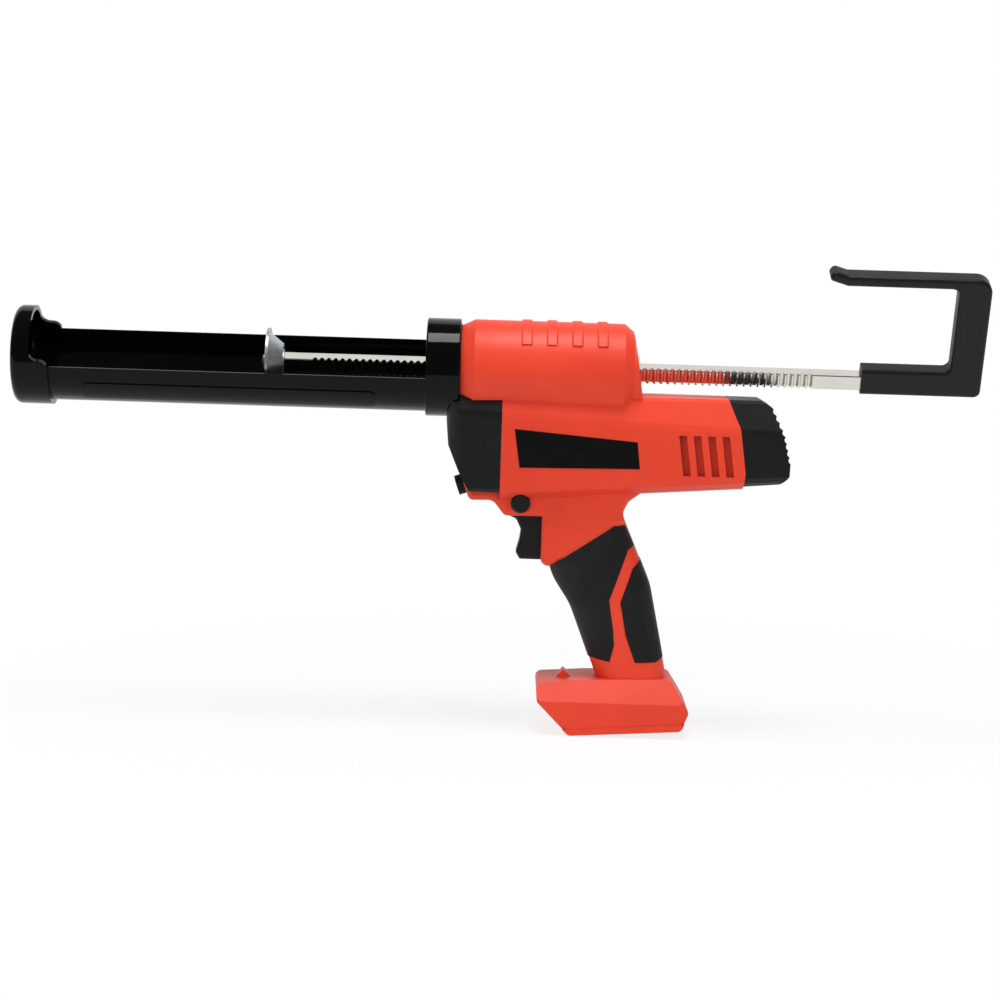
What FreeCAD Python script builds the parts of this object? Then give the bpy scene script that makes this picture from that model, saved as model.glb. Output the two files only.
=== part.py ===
import FreeCAD
import Part
import Sketcher

import math
import os
import re

# A cordless caulking tool, in millimetres. The barrel frame has its origin in the middle of the rear collar,
# +X runs back to the hook, +Y to the operator's right and +Z up. Every piece is drawn in that frame, or in
# the rack frame, which is the barrel frame rolled about the barrel axis, and its Placement then puts the
# middle of the battery shoe's underside at the origin.

SIZES = (
    # Barrel axis over the battery shoe, and the collar ahead of it
    ("barrel_height", 208.2),
    ("collar_ahead", 109.8),
    # Fits shared by all pieces
    ("overrun", 30.0),
    ("running_gap", 0.05),
    ("parting_gap", 0.3),
    ("wall", 2.5),
    # Cartridge holder: front cap, half-tube cradle and rear collar
    ("holder_roll", 23.0),
    ("holder_reach", 249.0),
    ("cap_radius", 28.7),
    ("cap_wall", 1.6),
    ("cap_front_round", 4.5),
    ("cap_skirt", 22.0),
    ("cap_lip", 11.0),
    ("cap_lip_height", 9.0),
    ("cap_lip_round", 5.0),
    ("nozzle_slot_width", 19.0),
    ("cradle_radius", 26.0),
    ("cradle_wall", 1.0),
    ("cradle_half_opening", 79.0),
    ("cradle_tail", 1.0),
    ("bead_start", 41.4),
    ("bead_length", 169.0),
    ("bead_width", 13.0),
    ("bead_corner_round", 3.0),
    ("bead_proud", 0.8),
    ("bead_angle", 66.0),
    ("collar_radius", 28.6),
    ("collar_length", 19.9),
    ("collar_edge_round", 1.0),
    ("collar_lip_length", 3.0),
    ("socket_neck_radius", 21.7),
    ("socket_flange_radius", 25.6),
    ("retainer_length", 3.0),
    # Rack, push disc and hook
    ("rack_side", 9.0),
    ("rack_edge_chamfer", 0.5),
    ("rack_front", 93.0),
    ("rack_tail", 300.0),
    ("rack_pitch", 4.0),
    ("rack_gap_count", 73.0),
    ("rack_first_gap", 74.8),
    ("rack_bush_gap", 0.1),
    ("pressure_angle", 20.0),
    ("disc_radius", 19.8),
    ("disc_rim", 1.6),
    ("disc_front", 103.0),
    ("disc_shoulder_radius", 17.0),
    ("disc_boss_radius", 10.8),
    ("disc_depth", 9.5),
    ("disc_nose_radius", 7.5),
    ("screw_head_radius", 4.6),
    ("screw_head_height", 2.6),
    ("screw_shank_radius", 2.5),
    ("hook_sleeve_front", 243.0),
    ("hook_rear", 313.0),
    ("hook_width", 12.4),
    ("hook_sleeve_low", 6.6),
    ("hook_sleeve_high", 9.4),
    ("hook_post_depth", 19.0),
    ("hook_arm_drop", 62.0),
    ("hook_arm_height", 68.5),
    ("hook_arm_front", 218.0),
    ("hook_tip_rise", 2.6),
    ("hook_tip_run", 12.0),
    ("hook_outer_round", 9.0),
    ("hook_inner_round", 4.0),
    ("hook_edge_round", 2.4),
    ("hook_pin_radius", 2.0),
    ("hook_pin_count", 2.0),
    ("hook_pin_inset", 18.0),
    ("hook_pin_step", 22.0),
    # Drive: rack pinion, bevel pair, bearings, gearbox and motor
    ("pinion_teeth", 15.0),
    ("pinion_gap_index", 31.0),
    ("pinion_height", 10.0),
    ("pinion_bore_radius", 4.0),
    ("tooth_backlash", 0.25),
    ("motor_drop", 33.0),
    ("bevel_pinion_teeth", 15.0),
    ("bevel_gear_teeth", 30.0),
    ("bevel_near", 4.6),
    ("bevel_far", 6.6),
    ("bevel_hub_radius", 7.5),
    ("bevel_hub_length", 5.0),
    ("bevel_pinion_near", 9.2),
    ("bevel_pinion_far", 13.2),
    ("bearing_radius", 8.0),
    ("bearing_length", 5.0),
    ("shaft_foot", 14.0),
    ("case_radius", 17.6),
    ("case_wall", 1.4),
    ("case_foot_radius", 12.0),
    ("case_top_drop", 14.0),
    ("case_nose_radius", 12.0),
    ("case_nose_end", 23.0),
    ("bridge_radius", 10.0),
    ("bridge_leg_offset", 12.4),
    ("bridge_leg_depth", 4.0),
    ("output_shaft_radius", 2.5),
    ("gearbox_radius", 17.5),
    ("gearbox_length", 37.0),
    ("motor_radius", 17.0),
    ("motor_length", 52.0),
    ("motor_bell_length", 6.0),
    ("rack_bush_radius", 11.0),
    ("rear_bush_radius", 10.0),
    ("rear_bush_length", 9.0),
    # Gear bump over the rack
    ("bump_front", 10.3),
    ("bump_radius", 28.5),
    ("bump_front_radius", 24.9),
    ("bump_front_taper", 7.7),
    ("bump_shoulder", 104.9),
    ("bump_rear", 113.8),
    ("bump_rear_radius", 24.1),
    ("bump_rear_taper", 5.4),
    ("bump_rear_lean", 8.4),
    ("bump_rear_wall", 6.0),
    ("bump_rib_first", 48.0),
    ("bump_rib_step", 14.6),
    ("bump_rib_count", 4.0),
    ("bump_rib_width", 6.6),
    ("bump_rib_proud", 0.9),
    ("bump_rib_flank", 0.9),
    ("bump_rib_angle", 112.0),
    # Motor body behind the nose cover
    ("body_front", 35.0),
    ("body_rear", 206.0),
    ("body_top_drop", 12.7),
    ("shoulder_slope", 0.45),
    ("belly_slope", 0.611),
    ("front_ridge_half", 27.0),
    ("front_ridge_drop", 24.7),
    ("front_crease_drop", 69.5),
    ("front_belly_half", 18.0),
    ("rear_ridge_half", 24.7),
    ("rear_ridge_drop", 31.5),
    ("rear_crease_drop", 57.2),
    ("rear_belly_half", 16.5),
    ("seat_rib_length", 3.0),
    ("gearbox_rib", 86.0),
    ("motor_rib", 128.0),
    ("body_edge_ease", 1.8),
    # Handle head with the trigger mouth, and the grip
    ("head_front", 10.8),
    ("head_top_drop", 57.0),
    ("head_run", 107.2),
    ("head_drop", 56.8),
    ("head_half", 18.0),
    ("head_edge_round", 3.4),
    ("head_corner_round", 3.6),
    ("head_bend_round", 6.0),
    ("grip_front", 60.0),
    ("grip_top_drop", 62.0),
    ("grip_run", 78.0),
    ("grip_foot_rise", 24.2),
    ("grip_half", 17.5),
    ("grip_edge_round", 13.0),
    ("grip_inner_round", 9.5),
    ("grip_room_round", 7.5),
    ("grip_bend_round", 40.0),
    ("grip_bend_clear", 7.18),
    ("grip_bend_drop", 20.374),
    ("pad_proud", 0.4),
    ("pad_depth", 1.4),
    # Battery shoe
    ("shoe_front", 59.4),
    ("shoe_rise", 30.8),
    ("shoe_run", 90.0),
    ("shoe_drop", 33.1),
    ("shoe_half", 29.0),
    ("shoe_edge_round", 3.0),
    ("shoe_ridge_half", 18.5),
    ("shoe_slope_drop", 13.3),
    ("shoe_lip_proud", 0.7),
    ("shoe_lip_height", 3.6),
    ("shoe_lip_round", 0.5),
    ("shoe_corner_round", 4.0),
    ("shoe_tilt", 4.2),
    ("shoe_slot_half", 19.0),
    ("shoe_rail_half", 23.5),
    ("shoe_rail_height", 4.0),
    ("shoe_slot_height", 9.5),
    ("shoe_slot_end", 55.0),
    ("shoe_hollow_front", 68.0),
    ("shoe_hollow_rear", 140.0),
    ("shoe_hollow_rise", 19.7),
    ("shoe_hollow_height", 5.5),
    ("shoe_hollow_half", 24.0),
    ("shoe_throat_front", 104.0),
    ("shoe_throat_run", 20.0),
    ("shoe_throat_half", 8.0),
    ("shoe_throat_rise", 10.0),
    ("nub_place", 76.5),
    ("nub_run", 12.0),
    ("nub_half", 5.0),
    ("nub_height", 4.0),
    # Nose cover, rear cap, label plate and vents
    ("nose_front", 2.8),
    ("nose_drop", 57.1),
    ("nose_plan_round", 14.0),
    ("nose_wall", 15.0),
    ("nose_ridge_half", 25.0),
    ("nose_ridge_drop", 23.5),
    ("nose_crease_drop", 69.8),
    ("nose_belly_half", 19.0),
    ("cap_black_front", 166.0),
    ("cap_black_rear", 203.6),
    ("cap_black_round", 4.0),
    ("cap_black_bend", 12.0),
    ("cap_flute_radius", 2.2),
    ("cap_flute_depth", 0.8),
    ("cap_flute_count", 4.0),
    ("label_proud", 0.3),
    ("label_depth", 0.7),
    ("vent_first", 139.5),
    ("vent_step", 8.3),
    ("vent_count", 4.0),
    ("vent_width", 4.4),
    ("vent_top_drop", 33.5),
    ("vent_height", 23.5),
    ("vent_lean", 8.0),
    ("baffle_place", 19.0),
    ("baffle_wall", 1.4),
    # Trigger, switch, lock button and speed dial
    ("trigger_half", 8.0),
    ("trigger_front", 39.7),
    ("trigger_run", 20.6),
    ("trigger_bend_round", 4.0),
    ("trigger_gap", 0.5),
    ("trigger_travel", 6.0),
    ("trigger_edge_round", 1.6),
    ("stem_half", 3.0),
    ("stem_height", 6.0),
    ("stem_drop", 98.0),
    ("switch_front", 68.0),
    ("switch_length", 28.0),
    ("switch_half", 9.0),
    ("switch_top_drop", 87.5),
    ("switch_height", 21.0),
    ("lock_place", 47.2),
    ("lock_drop", 76.5),
    ("lock_radius", 5.6),
    ("lock_neck_radius", 3.6),
    ("lock_neck_half", 5.0),
    ("lock_proud", 3.0),
    ("lock_dome", 0.8),
    ("dial_share", 0.56),
    ("dial_radius", 5.3),
    ("dial_height", 4.6),
    ("dial_shaft_radius", 2.0),
    ("dial_shaft_length", 6.0),
    ("pot_radius", 5.0),
    ("pot_length", 5.0),
    # Screws, board and terminals
    ("boss_radius", 3.6),
    ("screw_radius", 1.2),
    ("screw_cap_radius", 2.7),
    ("screw_cap_height", 2.0),
    ("screw_sink", 2.0),
    ("screw_grip", 9.0),
    ("bump_screw_half", 20.4),
    ("body_screw_half", 25.2),
    ("board_thickness", 1.6),
    ("board_half", 22.0),
    ("board_length", 56.0),
    ("board_front", 80.0),
    ("terminal_length", 14.0),
    ("terminal_half", 15.0),
    ("terminal_height", 5.0),
    ("blade_count", 4.0),
    ("blade_length", 9.0),
    ("blade_thickness", 0.8),
    ("blade_height", 3.6),
    ("blade_step", 8.0),
)

# Side outlines, as shares of each form's run and drop: along, down, the way the wall faces along and up, the
# corner's rounding, and whether the edge that starts here is buried in a neighbour.
MOUTH_TOP_SHARE = 0.479
MOUTH_WALL_SHARE = 0.459
MOUTH_FLOOR_SHARE = 0.951
CHIN_SHARES = (0.060, 0.331)
HEAD_SHARES = (
    (0.000, 0.000, -1, 0, "", False),
    (*CHIN_SHARES, -0.66, -1, "head_corner_round", False),
    (0.189, 0.324, -0.5, -1, "head_bend_round", False),
    (0.254, MOUTH_TOP_SHARE, -0.5, -1, "head_corner_round", False),
    (MOUTH_WALL_SHARE, MOUTH_TOP_SHARE, -1, -1, "", False),
    (MOUTH_WALL_SHARE, MOUTH_FLOOR_SHARE, -1, -0.5, "head_corner_round", False),
    (0.499, 1.000, -0.3, -1, "head_corner_round", False),
    (0.852, 0.555, 0, -1, "head_bend_round", False),
    (0.916, 0.551, 1, -1, "head_corner_round", False),
    (0.897, 0.414, 1, 0, "head_bend_round", False),
    (0.925, 0.299, 1, 0, "head_bend_round", False),
    (1.000, 0.194, 1, 0, "", True),
    (1.000, 0.000, 1, 0, "", True),
)
GRIP_DROP = "(barrel_height - grip_foot_rise - grip_top_drop)"
BEND_LIMIT_SHARE = 0.34
GRIP_BEND = f"min(grip_bend_round; {BEND_LIMIT_SHARE} * {GRIP_DROP})"
UNDER_SWITCH = "switch_top_drop + switch_height + grip_bend_clear - grip_top_drop"
BEND_SHARES = (f"({UNDER_SWITCH}) / {GRIP_DROP}", f"({UNDER_SWITCH} + grip_bend_drop) / {GRIP_DROP}")
GRIP_SHARES = (
    (0.050, 0.300, -1, 0, "", False),
    (0.060, BEND_SHARES[0], -1, 0, GRIP_BEND, False),
    (0.235, BEND_SHARES[1], -1, 0, GRIP_BEND, False),
    (0.475, 1.000, -1, -1, "", True),
    (0.995, 1.000, 1, -1, "", False),
    (0.827, 0.500, 1, 0, GRIP_BEND, False),
    (0.526, 0.050, 1, 0, "", True),
)
SHOE_SHARES = (
    (0.000, 0.115, -1, 1, "shoe_corner_round", False),
    (0.329, 0.042, 0, 1, "", False),
    (0.874, 0.000, 0, 1, "shoe_corner_round", False),
    (0.945, 0.306, 1, 0, "shoe_corner_round", False),
    (0.999, 0.548, 1, 0, "shoe_corner_round", False),
    (0.950, 0.868, 1, -1, "shoe_corner_round", False),
    (0.219, 1.000, 0, -1, "shoe_corner_round", False),
    (0.011, 0.433, -1, 0, "shoe_corner_round", False),
)
TRIGGER_SHARES = (
    (0.000, 0.000),
    (0.260, 0.085),
    (0.405, 0.325),
    (0.370, 0.560),
    (0.275, 0.850),
    (0.390, 1.000),
    (1.000, 1.000),
    (1.000, 0.000),
)
FRONT_PAD_SHARES = (
    (-0.10, 0.380),
    (0.056, 0.425),
    (0.540, 0.217),
    (0.628, 0.216),
    (0.700, 0.310),
    (0.650, 0.331),
    (0.522, 0.575),
    (0.560, 0.716),
    (0.570, 0.790),
    (0.542, 0.870),
    (0.410, 0.857),
    (-0.10, 0.857),
)
REAR_PAD_SHARES = (
    (1.200, 0.383),
    (0.748, 0.383),
    (0.692, 0.417),
    (0.607, 0.581),
    (0.655, 0.742),
    (0.732, 0.871),
    (0.890, 0.868),
    (0.962, 0.845),
    (1.200, 0.845),
)
NOSE_SHARES = (
    (0.010, 0.000),
    (0.000, 0.283),
    (0.047, 0.542),
    (0.248, 0.799),
    (0.435, 1.000),
    (1.000, 1.000),
    (1.000, 0.000),
)
CAP_SEAM_SHARES = (
    (-0.02, -0.10),
    (-0.003, 0.000),
    (0.104, 0.196),
    (0.181, 0.327),
    (0.231, 0.592),
    (0.279, 0.855),
    (0.240, 1.200),
    (1.500, 1.200),
    (1.500, -0.10),
)
# Rear outline of the end cap: along, down and the corner's rounding. The flutes lie on the two spans between
# its three rear corners.
CAP_BACK_SHARES = (
    (-0.50, -0.010, ""),
    (0.473, -0.010, "cap_black_round"),
    (0.673, 0.075, "cap_black_round"),
    (0.865, 0.394, "cap_black_bend"),
    (0.963, 0.713, "cap_black_bend"),
    (0.955, 0.877, "cap_black_round"),
    (0.833, 0.965, "cap_black_round"),
    (-0.50, 1.060, ""),
)
CAP_FLUTED_SPANS = ((2, 3), (3, 4))
LABEL_SHARES = (
    (0.044, 0.319),
    (0.459, 0.409),
    (0.470, 0.657),
    (0.064, 0.676),
)
# Housing screws, as shares of the form that they hold together: along and down
BUMP_SCREW_SHARES = ((0.0937, -0.684), (0.876, -0.632))
BODY_SCREW_SHARES = ((0.181, 0.791), (0.509, 0.759))
GRIP_SCREW_SHARES = ((0.564, 0.566), (0.622, 0.803))
SHOE_SCREW_SHARES = ((0.140, 0.460),)
# Ridge of the wedge on the shoe, along its run
NUB_SHARE = 0.42
# Flank of a gear tooth, from root to tip, in modules from the pitch line, and the rack tooth's foot
FLANK_SHARES = (-1.20, -0.55, 0.10, 0.85)
FOOT_SHARE = 1.2
# Crown of the disc's screw, as shares of its radius and height
CROWN_SHARES = (0.8, 0.6)
# How far the trunk's slanted corners follow an inset of its faces
RIDGE_INSET_SHARE = 0.4
CREASE_INSET_SHARE = 0.55
KEEL_INSET_SHARE = 0.3

Vector = FreeCAD.Vector
doc = FreeCAD.newDocument("CaulkingTool")
sheet = doc.addObject("Spreadsheet::Sheet", "Sizes")
for row, (alias, value) in enumerate(SIZES, start=1):
    sheet.set(f"A{row}", alias)
    sheet.set(f"B{row}", str(value))
    sheet.setAlias(f"B{row}", alias)
doc.recompute()
NAMES = {alias for alias, value in SIZES}
parts = []


def size(alias):
    """The value that the sheet holds under an alias."""
    return float(sheet.get(alias))


def number(text):
    """What an expression in the sheet's names comes to."""
    value = sheet.evalExpression(text)
    return float(getattr(value, "Value", value))


def linked(text):
    """The expression with every size name pointing at the sheet."""
    return re.sub(r"[a-z_]+", lambda m: "Sizes." + m[0] if m[0] in NAMES else m[0], text)


def bind(thing, **sizes):
    """Ties properties to expressions; a double underscore stands for a dot."""
    for name, text in sizes.items():
        thing.setExpression(name.replace("__", "."), linked(text))
    return thing


PITCH_RADIUS = "(pinion_teeth * rack_pitch / 2 / pi)"
MODULE = "(rack_pitch / pi)"
PINION_OFFSET = f"({PITCH_RADIUS} + rack_side / 2 - {MODULE})"
RACK_ROLL = f"asin({PINION_OFFSET} / motor_drop)"
APEX_DROP = f"(motor_drop * cos({RACK_ROLL}))"
PINION_X = "(pinion_gap_index * rack_pitch - rack_first_gap)"


def held(thing):
    """A holder for a shape that keeps its own place in the frame it was drawn in."""
    holder = doc.addObject("Part::Compound", thing.Name + "_piece")
    holder.Links = [thing]
    return holder


def keep(thing, label, roll=""):
    """Names a finished piece and puts it in its place, rolled about the barrel axis where it has a roll."""
    if thing.TypeId in ("Part::Cylinder", "Part::Box", "Part::Feature"):
        thing = held(thing)
    thing.Label = label
    turn = number(roll) if roll else 0
    thing.Placement = FreeCAD.Placement(Vector(), FreeCAD.Rotation(Vector(1, 0, 0), turn))
    if roll:
        bind(thing, Placement__Rotation__Angle=roll)
    bind(thing, Placement__Base__x="-collar_ahead", Placement__Base__z="barrel_height")
    parts.append(thing)
    return thing


def new_body(name):
    """An empty body with its own planes and axes."""
    return doc.addObject("PartDesign::Body", name)


def sketch_on(body, role, along="0"):
    """An empty sketch on one of the body's own planes, moved along the plane's normal."""
    sketch = body.newObject("Sketcher::SketchObject", "outline")
    plane = next(item for item in body.Origin.OriginFeatures if item.Role == role)
    sketch.AttachmentSupport = (plane, [""])
    sketch.MapMode = "FlatFace"
    if along != "0":
        bind(sketch, AttachmentOffset__Base__z=along)
    return sketch


def outline(body, role, points, along="0"):
    """A closed straight-sided outline, each corner held by two sizes from the frame's origin."""
    sketch = sketch_on(body, role, along)
    corners = [Vector(number(x), number(y), 0) for x, y in points]
    count = len(corners)
    for index, corner in enumerate(corners):
        sketch.addGeometry(Part.LineSegment(corner, corners[(index + 1) % count]), False)
    for index in range(count):
        sketch.addConstraint(Sketcher.Constraint("Coincident", index, 2, (index + 1) % count, 1))
    for index, (corner, texts) in enumerate(zip(corners, points)):
        across = ("DistanceX", -2, corner.x, texts[0])
        up = ("DistanceY", -1, corner.y, texts[1])
        for kind, line, start, text in (across, up):
            if text == "0":
                sketch.addConstraint(Sketcher.Constraint("PointOnObject", index, 1, line))
                continue
            kept = sketch.addConstraint(Sketcher.Constraint(kind, -1, 1, index, 1, start))
            bind(sketch, **{f"Constraints[{kept}]": text})
    return sketch


def disc(body, role, radius, along):
    """A circle about the plane's origin, held by its radius."""
    sketch = sketch_on(body, role, along)
    sketch.addGeometry(Part.Circle(Vector(), Vector(0, 0, 1), number(radius)), False)
    sketch.addConstraint(Sketcher.Constraint("Coincident", 0, 3, -1, 1))
    kept = sketch.addConstraint(Sketcher.Constraint("Radius", 0, number(radius)))
    bind(sketch, **{f"Constraints[{kept}]": radius})
    return sketch


def pad(body, sketch, length, both=True):
    """A pad of the sketch, to both sides of its plane or to one."""
    feature = body.newObject("PartDesign::Pad", "pad")
    feature.Profile = sketch
    feature.SideType = "Symmetric" if both else "One side"
    bind(feature, Length=length)
    return feature


def pocket(body, sketch, length, both=True):
    """A cut of the sketch through the body."""
    feature = body.newObject("PartDesign::Pocket", "pocket")
    feature.Profile = sketch
    feature.SideType = "Symmetric" if both else "One side"
    bind(feature, Length=length)
    return feature


def turned(name, profile, roll_axis="X_Axis", role="XZ_Plane"):
    """A body turned about one of its own axes from a half profile."""
    body = new_body(name)
    feature = body.newObject("PartDesign::Revolution", "turning")
    feature.Profile = outline(body, role, profile)
    axis = next(item for item in body.Origin.OriginFeatures if item.Role == roll_axis)
    feature.ReferenceAxis = (axis, [""])
    return body


def rounded(body, test, radius):
    """Rounds every edge of the body's tip that passes the test."""
    doc.recompute()
    base = body.Tip
    names = [f"Edge{n}" for n, edge in enumerate(base.Shape.Edges, start=1) if test(edge)]
    feature = body.newObject("PartDesign::Fillet", "rounding")
    feature.Base = (base, names)
    bind(feature, Radius=radius)
    return feature


def middle(edge):
    """The point half way along an edge."""
    return edge.valueAt((edge.FirstParameter + edge.LastParameter) / 2)


def stands_at(places):
    """A test for edges along Y that pass through one of the given places in the side view."""
    def test(edge):
        ends = [vertex.Point for vertex in edge.Vertexes]
        if len(ends) < 2 or (ends[0] - ends[1]).cross(Vector(0, 1, 0)).Length > 1e-6:
            return False
        return any(math.hypot(ends[0].x - x, ends[0].z - z) < 1e-4 for x, z in places)
    return test


def upright_at(*places):
    """A test for upright edges at some places along the barrel."""
    def test(edge):
        low, high = (vertex.Point for vertex in (edge.Vertexes[0], edge.Vertexes[-1]))
        upright = (high - low).cross(Vector(0, 0, 1)).Length < 1e-6
        return upright and any(abs(low.x - x) < 1e-4 for x in places)
    return test


def on_flank(half, buried):
    """A test for the edges of the two flanks that aren't on a buried side of the outline."""
    def test(edge):
        point = middle(edge)
        if any(abs(abs(p.y) - half) > 1e-4 for p in (point, edge.Vertexes[0].Point, edge.Vertexes[-1].Point)):
            return False
        flat = Vector(point.x, 0, point.z)
        return all(flat.distanceToLineSegment(a, b).Length > 1e-4 for a, b in buried)
    return test


def form(name, frame, rows, half, edge_round="", inset="0"):
    """A moulded form: a padded side outline, its corners rounded and then its flanks, or left sharp."""
    front, top, run, drop = frame
    points = []
    for along, down, face_x, face_z, corner, hidden in rows:
        x = f"{front} + {along} * {run} - {face_x} * ({inset})"
        points.append((x, f"-{top} - {down} * {drop} - {face_z} * ({inset})"))
    body = new_body(name)
    pad(body, outline(body, "XZ_Plane", points), f"2 * ({half} - ({inset}))")
    if not edge_round:
        return body
    places = [(number(x), number(z)) for x, z in points]
    for corner in dict.fromkeys(row[4] for row in rows if row[4]):
        rounded(body, stands_at([place for place, row in zip(places, rows) if row[4] == corner]), corner)
    flat = [Vector(x, 0, z) for x, z in places]
    buried = [(flat[i], flat[(i + 1) % len(flat)]) for i, row in enumerate(rows) if row[5]]
    rounded(body, on_flank(number(f"{half} - ({inset})"), buried), edge_round)
    return body


def prism(name, points):
    """A straight-sided prism through the middle plane, for cutting and trimming."""
    body = new_body(name)
    pad(body, outline(body, "XZ_Plane", points), "2 * overrun")
    return body


def shares(frame, rows):
    """Outline points from shares of a form's run and drop."""
    front, top, run, drop = frame
    return [(f"{front} + {row[0]} * {run}", f"-{top} - {row[1]} * {drop}") for row in rows]


def rod(name, radius, length, at, axis="X"):
    """A plain round bar from a point along one axis."""
    bar = doc.addObject("Part::Cylinder", name)
    turn = {"X": (Vector(0, 1, 0), 90), "Y": (Vector(1, 0, 0), -90), "Z": (Vector(0, 0, 1), 0)}[axis]
    bar.Placement = FreeCAD.Placement(Vector(), FreeCAD.Rotation(*turn))
    return bind(bar, Radius=radius, Height=length, Placement__Base__x=at[0], Placement__Base__y=at[1],
                Placement__Base__z=at[2])


def block(name, low, span):
    """A plain box from its low corner."""
    box = doc.addObject("Part::Box", name)
    return bind(box, Length=span[0], Width=span[1], Height=span[2], Placement__Base__x=low[0],
                Placement__Base__y=low[1], Placement__Base__z=low[2])


def fuse(name, *things):
    """All the things as one."""
    joined = doc.addObject("Part::MultiFuse", name)
    joined.Shapes = list(things)
    return joined


def cut(name, base, *tools):
    """The base with every tool taken out of it."""
    result = doc.addObject("Part::Cut", name)
    result.Base = base
    result.Tool = tools[0] if len(tools) == 1 else fuse(name + "_tools", *tools)
    return result


def common(name, *things):
    """What all the things share."""
    shared = doc.addObject("Part::MultiCommon", name)
    shared.Shapes = list(things)
    return shared


# Cartridge holder


def front_cap():
    """Cup that the cartridge's shoulder rests in, its skirt cut short over the cradle's opening."""
    front = "-holder_reach"
    cup = turned("cap_cup", [
        (front, "0"),
        (front, "cap_radius"),
        (f"{front} + cap_skirt", "cap_radius"),
        (f"{front} + cap_skirt", "cradle_radius"),
        (f"{front} + cap_wall", "cradle_radius"),
        (f"{front} + cap_wall", "0"),
    ])
    lip = f"{front} + cap_lip"
    pocket(cup, outline(cup, "XZ_Plane", [
        (lip, "cap_lip_height"),
        ("overrun", "cap_lip_height"),
        ("overrun", "overrun + cap_radius"),
        (lip, "overrun + cap_radius"),
    ]), "4 * cap_radius")
    hole = f"{front} + cap_wall / 2"
    pocket(cup, disc(cup, "YZ_Plane", "nozzle_slot_width / 2", hole), "4 * cap_wall")
    reach = "cap_radius - 2 * cap_front_round"
    pocket(cup, outline(cup, "YZ_Plane", [
        ("-nozzle_slot_width / 2", "0"),
        ("nozzle_slot_width / 2", "0"),
        ("nozzle_slot_width / 2", reach),
        ("-nozzle_slot_width / 2", reach),
    ], hole), "4 * cap_wall")
    corner = (number(lip), size("cap_lip_height"))
    tail = (number(f"{front} + cap_skirt"), size("cap_lip_height"))
    rounded(cup, stands_near([corner, tail], size("cap_wall")), "cap_lip_round")
    rounded(cup, circle_at(number(front), size("cap_radius")), "cap_front_round")
    return keep(cup, "front_cap", "holder_roll")


def stands_near(places, room):
    """A test for short straight edges whose middle lies at one of the given places in the side view."""
    def test(edge):
        point = middle(edge)
        return any(math.hypot(point.x - x, point.z - z) < room / 10 for x, z in places)
    return test


def circle_at(x, radius):
    """A test for round edges about the barrel axis."""
    def test(edge):
        curve = edge.Curve
        if not isinstance(curve, Part.Circle):
            return False
        return abs(curve.Radius - radius) < 1e-4 and abs(curve.Center.x - x) < 1e-4
    return test


def bead_block(name, side, inset):
    """The upright block over one bead's outline, turned to its flank."""
    low = "-cradle_radius - overrun"
    front = f"bead_start - holder_reach + {inset}"
    rear = f"bead_start - holder_reach + bead_length - {inset}"
    half = f"(bead_width / 2 - {inset})"
    body = new_body(name)
    pad(body, outline(body, "XY_Plane", [
        (front, f"-{half}"), (rear, f"-{half}"), (rear, half), (front, half),
    ], low), "overrun + cradle_radius / 2", both=False)
    rounded(body, upright_at(number(front), number(rear)), "bead_corner_round")
    turned_block = held(body)
    turned_block.Placement = FreeCAD.Placement(Vector(), FreeCAD.Rotation(Vector(1, 0, 0), side))
    return bind(turned_block, Placement__Rotation__Angle=f"{side} * bead_angle")


def barrel_rod(name, radius):
    """A round bar on the barrel axis, as long as the holder."""
    return rod(name, radius, "holder_reach", ("-holder_reach", "0", "0"))


def cartridge_cradle():
    """Half tube of sheet steel with a bead pressed out along each flank."""
    front = "cap_wall - holder_reach"
    inner = "cradle_wall - cradle_radius"
    body = new_body("cradle_tube")
    feature = body.newObject("PartDesign::Revolution", "bending")
    feature.Profile = outline(body, "XZ_Plane", [
        (front, "-cradle_radius"),
        ("cradle_tail", "-cradle_radius"),
        ("cradle_tail", inner),
        (front, inner),
    ])
    axis = next(item for item in body.Origin.OriginFeatures if item.Role == "X_Axis")
    feature.ReferenceAxis = (axis, [""])
    feature.Midplane = True
    bind(feature, Angle="360 - 2 * cradle_half_opening")
    skin = cut("bead_skin", barrel_rod("bead_out", "cradle_radius + bead_proud"),
               barrel_rod("bead_in", "cradle_radius - cradle_wall / 2"))
    floor = barrel_rod("bead_floor", "cradle_radius - cradle_wall + bead_proud")
    beads = []
    hollows = []
    for side in (1, -1):
        beads.append(common("bead", bead_block("bead_shape", side, "0"), skin))
        hollows.append(common("bead_hollow", bead_block("hollow_shape", side, "cradle_wall"), floor))
    sheet_piece = cut("cradle", fuse("cradle_sheet", body, *beads), *hollows)
    return keep(sheet_piece, "cartridge_cradle", "holder_roll")


def rear_collar():
    """Ring that carries the cradle and turns on the barrel socket."""
    end = "collar_length / 2"
    lip = "cradle_tail + collar_lip_length"
    bore = "socket_flange_radius + parting_gap"
    neck = "socket_neck_radius + running_gap"
    ring = turned("collar", [
        (f"-{end}", "cradle_radius"),
        (f"-{end}", "collar_radius"),
        (end, "collar_radius"),
        (end, bore),
        (lip, bore),
        (lip, neck),
        ("cradle_tail", neck),
        ("cradle_tail", "cradle_radius"),
    ])
    doc.recompute()
    edge = size("collar_length") / 2
    for side in (edge, -edge):
        rounded(ring, circle_at(side, size("collar_radius")), "collar_edge_round")
    return keep(ring, "rear_collar", "holder_roll")


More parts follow.
